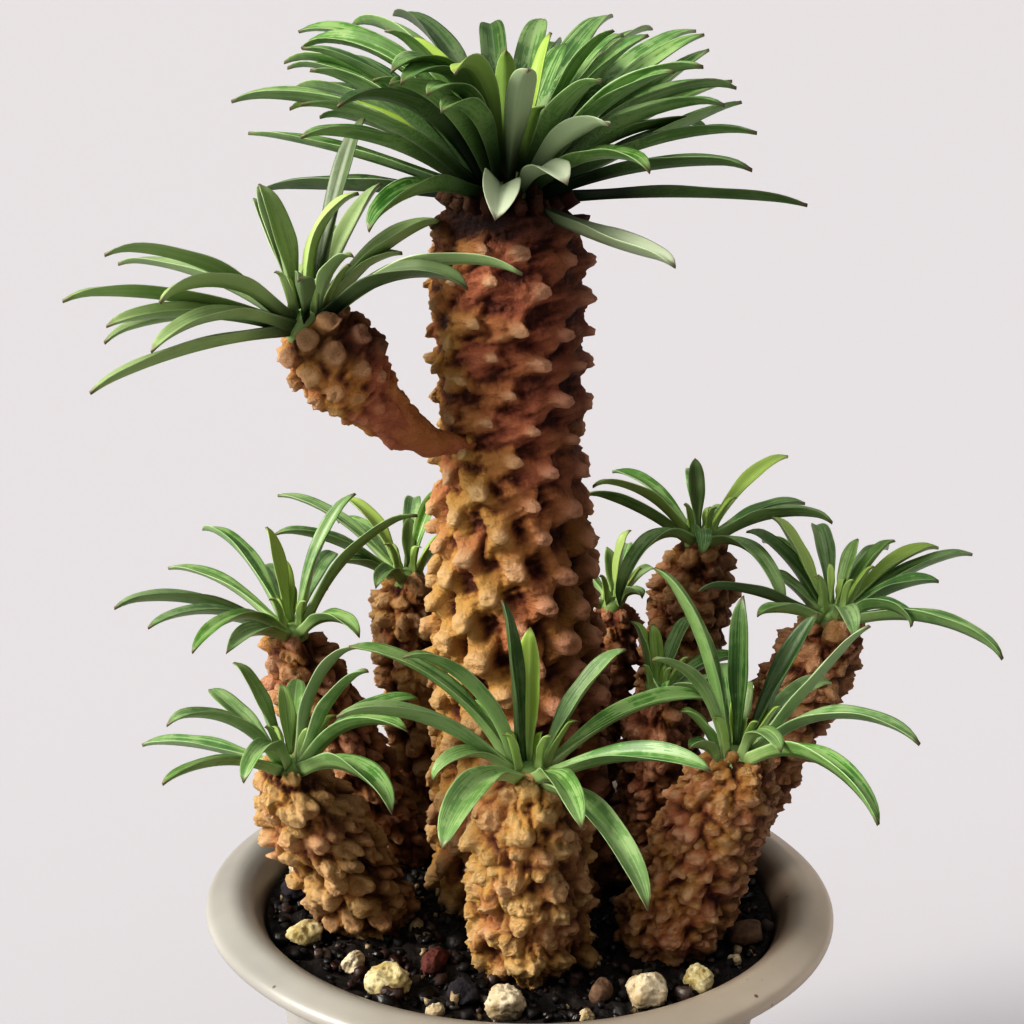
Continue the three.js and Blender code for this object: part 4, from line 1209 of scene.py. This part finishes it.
def soil_mix(tree, place):
    """
    Damp potting mix: peat and crushed lava, almost black, with crumbs a millimetre or two wide. Wet grains
    glint, so the roughness drops on some of them.
    """
    crumbs = noise(tree, place, 480, 6, 0.7)
    return {
        "Base Color": ramp(tree, crumbs, (0.35, "#0B0807"), (0.55, "#1E1613"), (0.72, "#3B2C24")),
        "Roughness": fitted(tree, cells(tree, place, 600)["Color"], 0.25, 0.9, 0.15, 0.4),
        "Normal": bumped(tree, crumbs, 0.9, 0.0012),
    }


def grit(tree, place):
    """Crushed lava, quartz and pumice grains: mostly black and wet, some red-brown, grey or cream."""
    kind, gloss, _ = numbers(tree, "grain")
    colour = ramp(tree, kind, (0.0, "#14100F"), (0.2, "#35211B"), (0.5, "#4B403A"), (0.85, "#9C8A6C"))
    colour.node.color_ramp.interpolation = "CONSTANT"
    specks = noise(tree, place, 900, 4)
    shade = {0: colour, 1: fitted(tree, specks, 0.4, 1.5)}
    return {
        "Base Color": add(tree, "ShaderNodeVectorMath", shade, operation="MULTIPLY").outputs[0],
        "Roughness": fitted(tree, gloss, 0.25, 0.85),
        "Normal": bumped(tree, specks, 0.6, 0.0005),
    }


def porous(tree, place, dark, light, painted_pore_shade, strength):
    """
    Volcanic stone full of gas bubbles: pumice is pale and chalky, lava red or black. Bubbles 0.5 to 1.5 mm
    wide are holes, drawn by cells and painted dark as painted shade, and the crust between them is rough and
    matt.
    """
    crust = noise(tree, place, 230, 6, 0.7)
    hole = cells(tree, place, 520)["Distance"]
    colour = ramp(tree, crust, (0.35, dark), (0.62, light))
    return {
        # bubble holes painted dark, as painted shade
        "Base Color": mixed(tree, ramp(tree, hole, (0.16, strength), (0.3, 0)), colour, painted_pore_shade),
        "Roughness": 0.85,
        "Normal": bumped(tree, hole, 0.5, 0.0006, Normal=bumped(tree, crust, 0.8, 0.001)),
    }


def matt_paint(tree, place, colour):
    """Matt paint on the floor: one even pale colour without gloss."""
    return {"Base Color": colour, "Roughness": 0.9}


# Each kind of stone: its material, its dark and pale tone, the painted shade in its bubbles, and how strong it
# shows
STONE_FINISH = {
    "cream": ("cream_pumice", "#A08E6C", "#D2C7AE", "#5E4A2E", 0.5),
    "yellow": ("yellow_pumice", "#9A8850", "#D6CDA8", "#4E3A1C", 0.5),
    "lava": ("red_lava", "#3A1E1A", "#6E3E36", "#1C0E0C", 0.6),
    "black": ("black_lava", "#141016", "#2E2830", "#08060A", 0.6),
    "brown": ("brown_pebble", "#4A3528", "#7A614C", "#2A1C14", 0.3),
}


# Settings


class EuphorbiaLook(bpy.types.PropertyGroup):
    """Sizes and colours that set the look."""

    trunk_spacing: bpy.props.FloatProperty(
        name="Trunk mesh", description="Distance between the trunk's mesh rows in millimetres", default=0.53
    )
    offset_spacing: bpy.props.FloatProperty(
        name="Offset mesh", description="Distance between the offsets' mesh rows in millimetres", default=0.45
    )
    grains: bpy.props.IntProperty(name="Grit", description="Number of loose grains on the soil", default=900)
    key_light: bpy.props.FloatProperty(
        name="Key light", description="Strength of the soft light from the left", default=3.9
    )
    fill_light: bpy.props.FloatProperty(
        name="Fill light", description="Strength of the softer light from the front left", default=0.9
    )
    room_light: bpy.props.FloatProperty(
        name="Room light", description="Strength of the wide light overhead", default=0.8
    )
    floor_colour: bpy.props.FloatVectorProperty(
        name="Floor", description="Colour of the floor", subtype="COLOR", size=4, default=linear("#B2B1B5")
    )


# Operators


class EUPHORBIA_OT_pot(bpy.types.Operator):
    """Makes the glazed pot"""

    bl_idname = "euphorbia.pot"
    bl_label = "Pot"

    def execute(self, context):
        finish = material("satin_stoneware_glaze", glaze)
        drained(new_piece("pot", capped_tube(pot_rings()), finish, ("pot",)))
        return {"FINISHED"}


class EUPHORBIA_OT_soil(bpy.types.Operator):
    """Makes the soil and its loose grit"""

    bl_idname = "euphorbia.soil"
    bl_label = "Soil and grit"

    def execute(self, context):
        finish = material("damp_potting_mix", soil_mix)
        new_piece("soil", capped_tube(soil_rings()), finish, ("soil",))
        mesh, grain = grit_arrays(context.scene.euphorbia.grains, 9)
        new_piece("grit", mesh, material("mixed_grit", grit), (), {"grain": grain})
        return {"FINISHED"}


class EUPHORBIA_OT_trunk(bpy.types.Operator):
    """Makes the trunk and its side branch"""

    bl_idname = "euphorbia.trunk"
    bl_label = "Trunk and branch"

    def execute(self, context):
        def layers(length, at, h, r):
            rings = lattice(TRUNK, length, at, h, r, lambda level: ease((level / length - 0.55) / 0.15))
            return [(np.concatenate([rings, crowding(TRUNK, length, at, h, r)]), 0.75, 1.15, 1)]

        def tones(x, y, z):
            # gold towards the lit left and red towards the shaded right are painted light and shade; the
            # redness rising up the trunk is its own colour
            red = (0.25 + 0.6 * ease((z - 160) / 50)) * ease((x + 25) / 22) + 0.3 * ease((z - 222) / 20)
            # painted shade on the right, away from the light, and painted shadow of the crown on the top
            painted_shade_and_tone = np.maximum(0.7 * ease((x + 2) / 16), 0.95 * ease((z - 248) / 8))
            return red, 0.8 * ease((8 - x) / 20), painted_shade_and_tone

        stem_piece("trunk", TRUNK, context.scene.euphorbia.trunk_spacing, layers, trunk_detail, tones)
        branch_piece()
        return {"FINISHED"}


class EUPHORBIA_OT_offsets(bpy.types.Operator):
    """Makes the young stems round the trunk"""

    bl_idname = "euphorbia.offsets"
    bl_label = "Offsets"

    def execute(self, context):
        spacing = context.scene.euphorbia.offset_spacing
        for n, (name, (foot, top, wide, narrow, _, gold, size, block)) in enumerate(OFFSETS.items()):
            seed = n + 2
            stem = {**OFFSET, "foot": foot, "top": top, "radii": ((0, wide), (1, narrow)), "seed": seed}
            stem["cols"] = int(2 * np.pi * (wide + 2) / spacing)

            def layers(length, at, h, r):
                rings = lattice(stem, length, at, h, r, lambda level: 0 * level)
                strewn = lumps(at, r, seed, size, (0.38 + 0.3 * block) * size, block)
                return [(rings, 0.1, 1.3, 0.2), (strewn, 0, 1.3, 0.9)]

            def tones(x, y, z):
                middle = foot[0] + (top[0] - foot[0]) * (z - foot[2]) / (top[2] - foot[2])
                # painted shade on the side away from the light, over a darker tone of their own for less
                # golden offsets
                painted_shade_and_tone = 0.2 * (1 - gold) + 0.7 * ease((x - middle + 0.1 * wide) / wide)
                return 0.55 - 0.5 * gold, gold, painted_shade_and_tone

            stem_piece("offset_" + name, stem, spacing, layers, offset_detail(seed), tones)
        return {"FINISHED"}


class EUPHORBIA_OT_leaves(bpy.types.Operator):
    """Makes every rosette of leaves"""

    bl_idname = "euphorbia.leaves"
    bl_label = "Leaves"

    def execute(self, context):
        seat = BUD_SEAT + GAP
        up = np.array((0, 0, 1.0))
        filling = np.concatenate([inner_leaves(FILLING["inner"], 1), middle_leaves(FILLING["middle"], 1)])
        beside = np.cos(np.radians(filling[:, 0] - FILLING["gap"])) < FILLING["half"]
        crown = np.concatenate([LEAVES["crown"], filling[beside]])
        rosette_piece("crown", "crown_leaves", np.array(TRUNK["top"]) + up * seat, TRUNK["bud"], up, crown, 1)
        end, way = bezier(BRANCH["route"], np.array([1.0]))
        centre = end[0] + way[0] * seat
        rosette_piece("branch", "branch_leaves", centre, BRANCH["bud"], way[0], LEAVES["branch"], 2)
        for n, (name, offset) in enumerate(OFFSETS.items()):
            centre = np.array(offset[1]) + up * seat
            rosette_piece(name, "leaves_" + name, centre, offset[4], up, LEAVES[name], n + 2)
        return {"FINISHED"}


class EUPHORBIA_OT_stones(bpy.types.Operator):
    """Makes the loose stones"""

    bl_idname = "euphorbia.stones"
    bl_label = "Stones"

    def execute(self, context):
        for n, (at, size, turn, kind) in enumerate(STONES, 1):
            rough = 0.03 if kind == "brown" else 0.12
            mesh = capped_tube(stone_rings(size, turn, at, n, rough))
            finish, *tones = STONE_FINISH[kind]
            name = f"stone_{n}"
            new_piece(name, mesh, material(finish, porous, *tones), (name,))
        return {"FINISHED"}


class EUPHORBIA_OT_stage(bpy.types.Operator):
    """Makes the camera, the floor and the lights"""

    bl_idname = "euphorbia.stage"
    bl_label = "Stage"

    def execute(self, context):
        look = context.scene.euphorbia
        add_camera(context.scene)
        corners = [(x * FLOOR, y * FLOOR, 0) for x, y in ((-1, -1), (1, -1), (1, 1), (-1, 1))]
        mesh = bpy.data.meshes.new("floor")
        mesh.from_pydata(corners, [], [(0, 1, 2, 3)])
        mesh.materials.append(material("pale_floor", matt_paint, look.floor_colour))
        floor = bpy.data.objects.new("floor", mesh)
        context.scene.collection.objects.link(floor)
        add_sun("key", 74, 32, 26, look.key_light, "#FFF9F2")
        add_sun("fill", 60, 10, 50, look.fill_light, "#FFFFFF")
        add_sun("bounce", -70, 8, 80, 0.18 * look.fill_light, "#FFD2B0")
        context.scene.world = pale_room(look.room_light)
        context.scene.view_settings.view_transform = "Standard"
        context.scene.view_settings.look = "High Contrast"
        return {"FINISHED"}


# Camera and lights


def put_up(name, data, axes, at):
    """An object in the scene at a place in metres, with its own X, Y and Z along these axes."""
    thing = bpy.data.objects.new(name, data)
    matrix = np.eye(4)
    matrix[:3, :3] = np.stack(axes, -1)
    matrix[:3, 3] = at
    thing.matrix_world = Matrix(matrix.tolist())
    bpy.context.scene.collection.objects.link(thing)
    return thing


def add_camera(scene):
    """A camera that looks along +Y, tipped down by its pitch, then rolled about its view."""
    pitch, roll = np.radians(CAMERA["pitch"]), np.radians(CAMERA["roll"])
    ahead = np.array([0, np.cos(pitch), -np.sin(pitch)])
    right = np.array([1.0, 0, 0])
    up = np.cross(right, ahead)
    across = right * np.cos(roll) + up * np.sin(roll)
    over = -right * np.sin(roll) + up * np.cos(roll)
    data = bpy.data.cameras.new("camera")
    data.sensor_width = 36
    data.lens = CAMERA["lens"] / CAMERA["image"] * 36
    data.clip_start = 0.02
    data.clip_end = 200
    scene.camera = put_up("camera", data, (across, over, -ahead), np.array(CAMERA["at"]) * MM)


def add_sun(name, side, height, softness, strength, colour):
    """A soft distant light, `side` degrees to the left of the camera's line and `height` degrees up."""
    data = bpy.data.lights.new(name, "SUN")
    data.angle = np.radians(softness)
    data.energy = strength
    data.color = linear(colour)[:3]
    a, b = np.radians(side), np.radians(height)
    back = np.array((-np.sin(a) * np.cos(b), -np.cos(a) * np.cos(b), np.sin(b)))
    across = np.cross((0, 0, 1), back)
    across /= np.linalg.norm(across)
    put_up(name, data, (across, np.cross(back, across), back), back)


def pale_room(strength):
    """A pale room: bright near the horizon, dim above it, and a wide soft light overhead."""
    world = bpy.data.worlds.new("room")
    world.use_nodes = True
    tree = world.node_tree
    tree.nodes.clear()
    way = add(tree, "ShaderNodeTexCoord").outputs["Generated"]
    up = add(tree, "ShaderNodeSeparateXYZ", {0: way}).outputs[2]
    glow = ramp(tree, up, (0.02, (1.1, 0.86, 0.72, 1)), (0.18, 0.14), (0.5, 0.14), (0.75, strength))
    light = add(tree, "ShaderNodeBackground", {"Color": glow})
    add(tree, "ShaderNodeOutputWorld", {"Surface": light.outputs[0]})
    return world


# Panel and start


class EUPHORBIA_PT_panel(bpy.types.Panel):
    """Lists the pieces and their settings"""

    bl_label = "Euphorbia"
    bl_idname = "EUPHORBIA_PT_panel"
    bl_space_type = "VIEW_3D"
    bl_region_type = "UI"
    bl_category = "Euphorbia"

    def draw(self, context):
        look = context.scene.euphorbia
        for key in EuphorbiaLook.__annotations__:
            self.layout.prop(look, key)
        for operator in PIECES:
            self.layout.operator(operator.bl_idname)


PIECES = (
    EUPHORBIA_OT_stage,
    EUPHORBIA_OT_pot,
    EUPHORBIA_OT_soil,
    EUPHORBIA_OT_stones,
    EUPHORBIA_OT_trunk,
    EUPHORBIA_OT_offsets,
    EUPHORBIA_OT_leaves,
)
CLASSES = (EuphorbiaLook,) + PIECES + (EUPHORBIA_PT_panel,)


def register():
    for item in CLASSES:
        bpy.utils.register_class(item)
    bpy.types.Scene.euphorbia = bpy.props.PointerProperty(type=EuphorbiaLook)


def unregister():
    del bpy.types.Scene.euphorbia
    for item in reversed(CLASSES):
        bpy.utils.unregister_class(item)


def main():
    register()
    for operator in PIECES:
        group, name = operator.bl_idname.split(".")
        getattr(getattr(bpy.ops, group), name)()


if __name__ == "__main__":
    main()
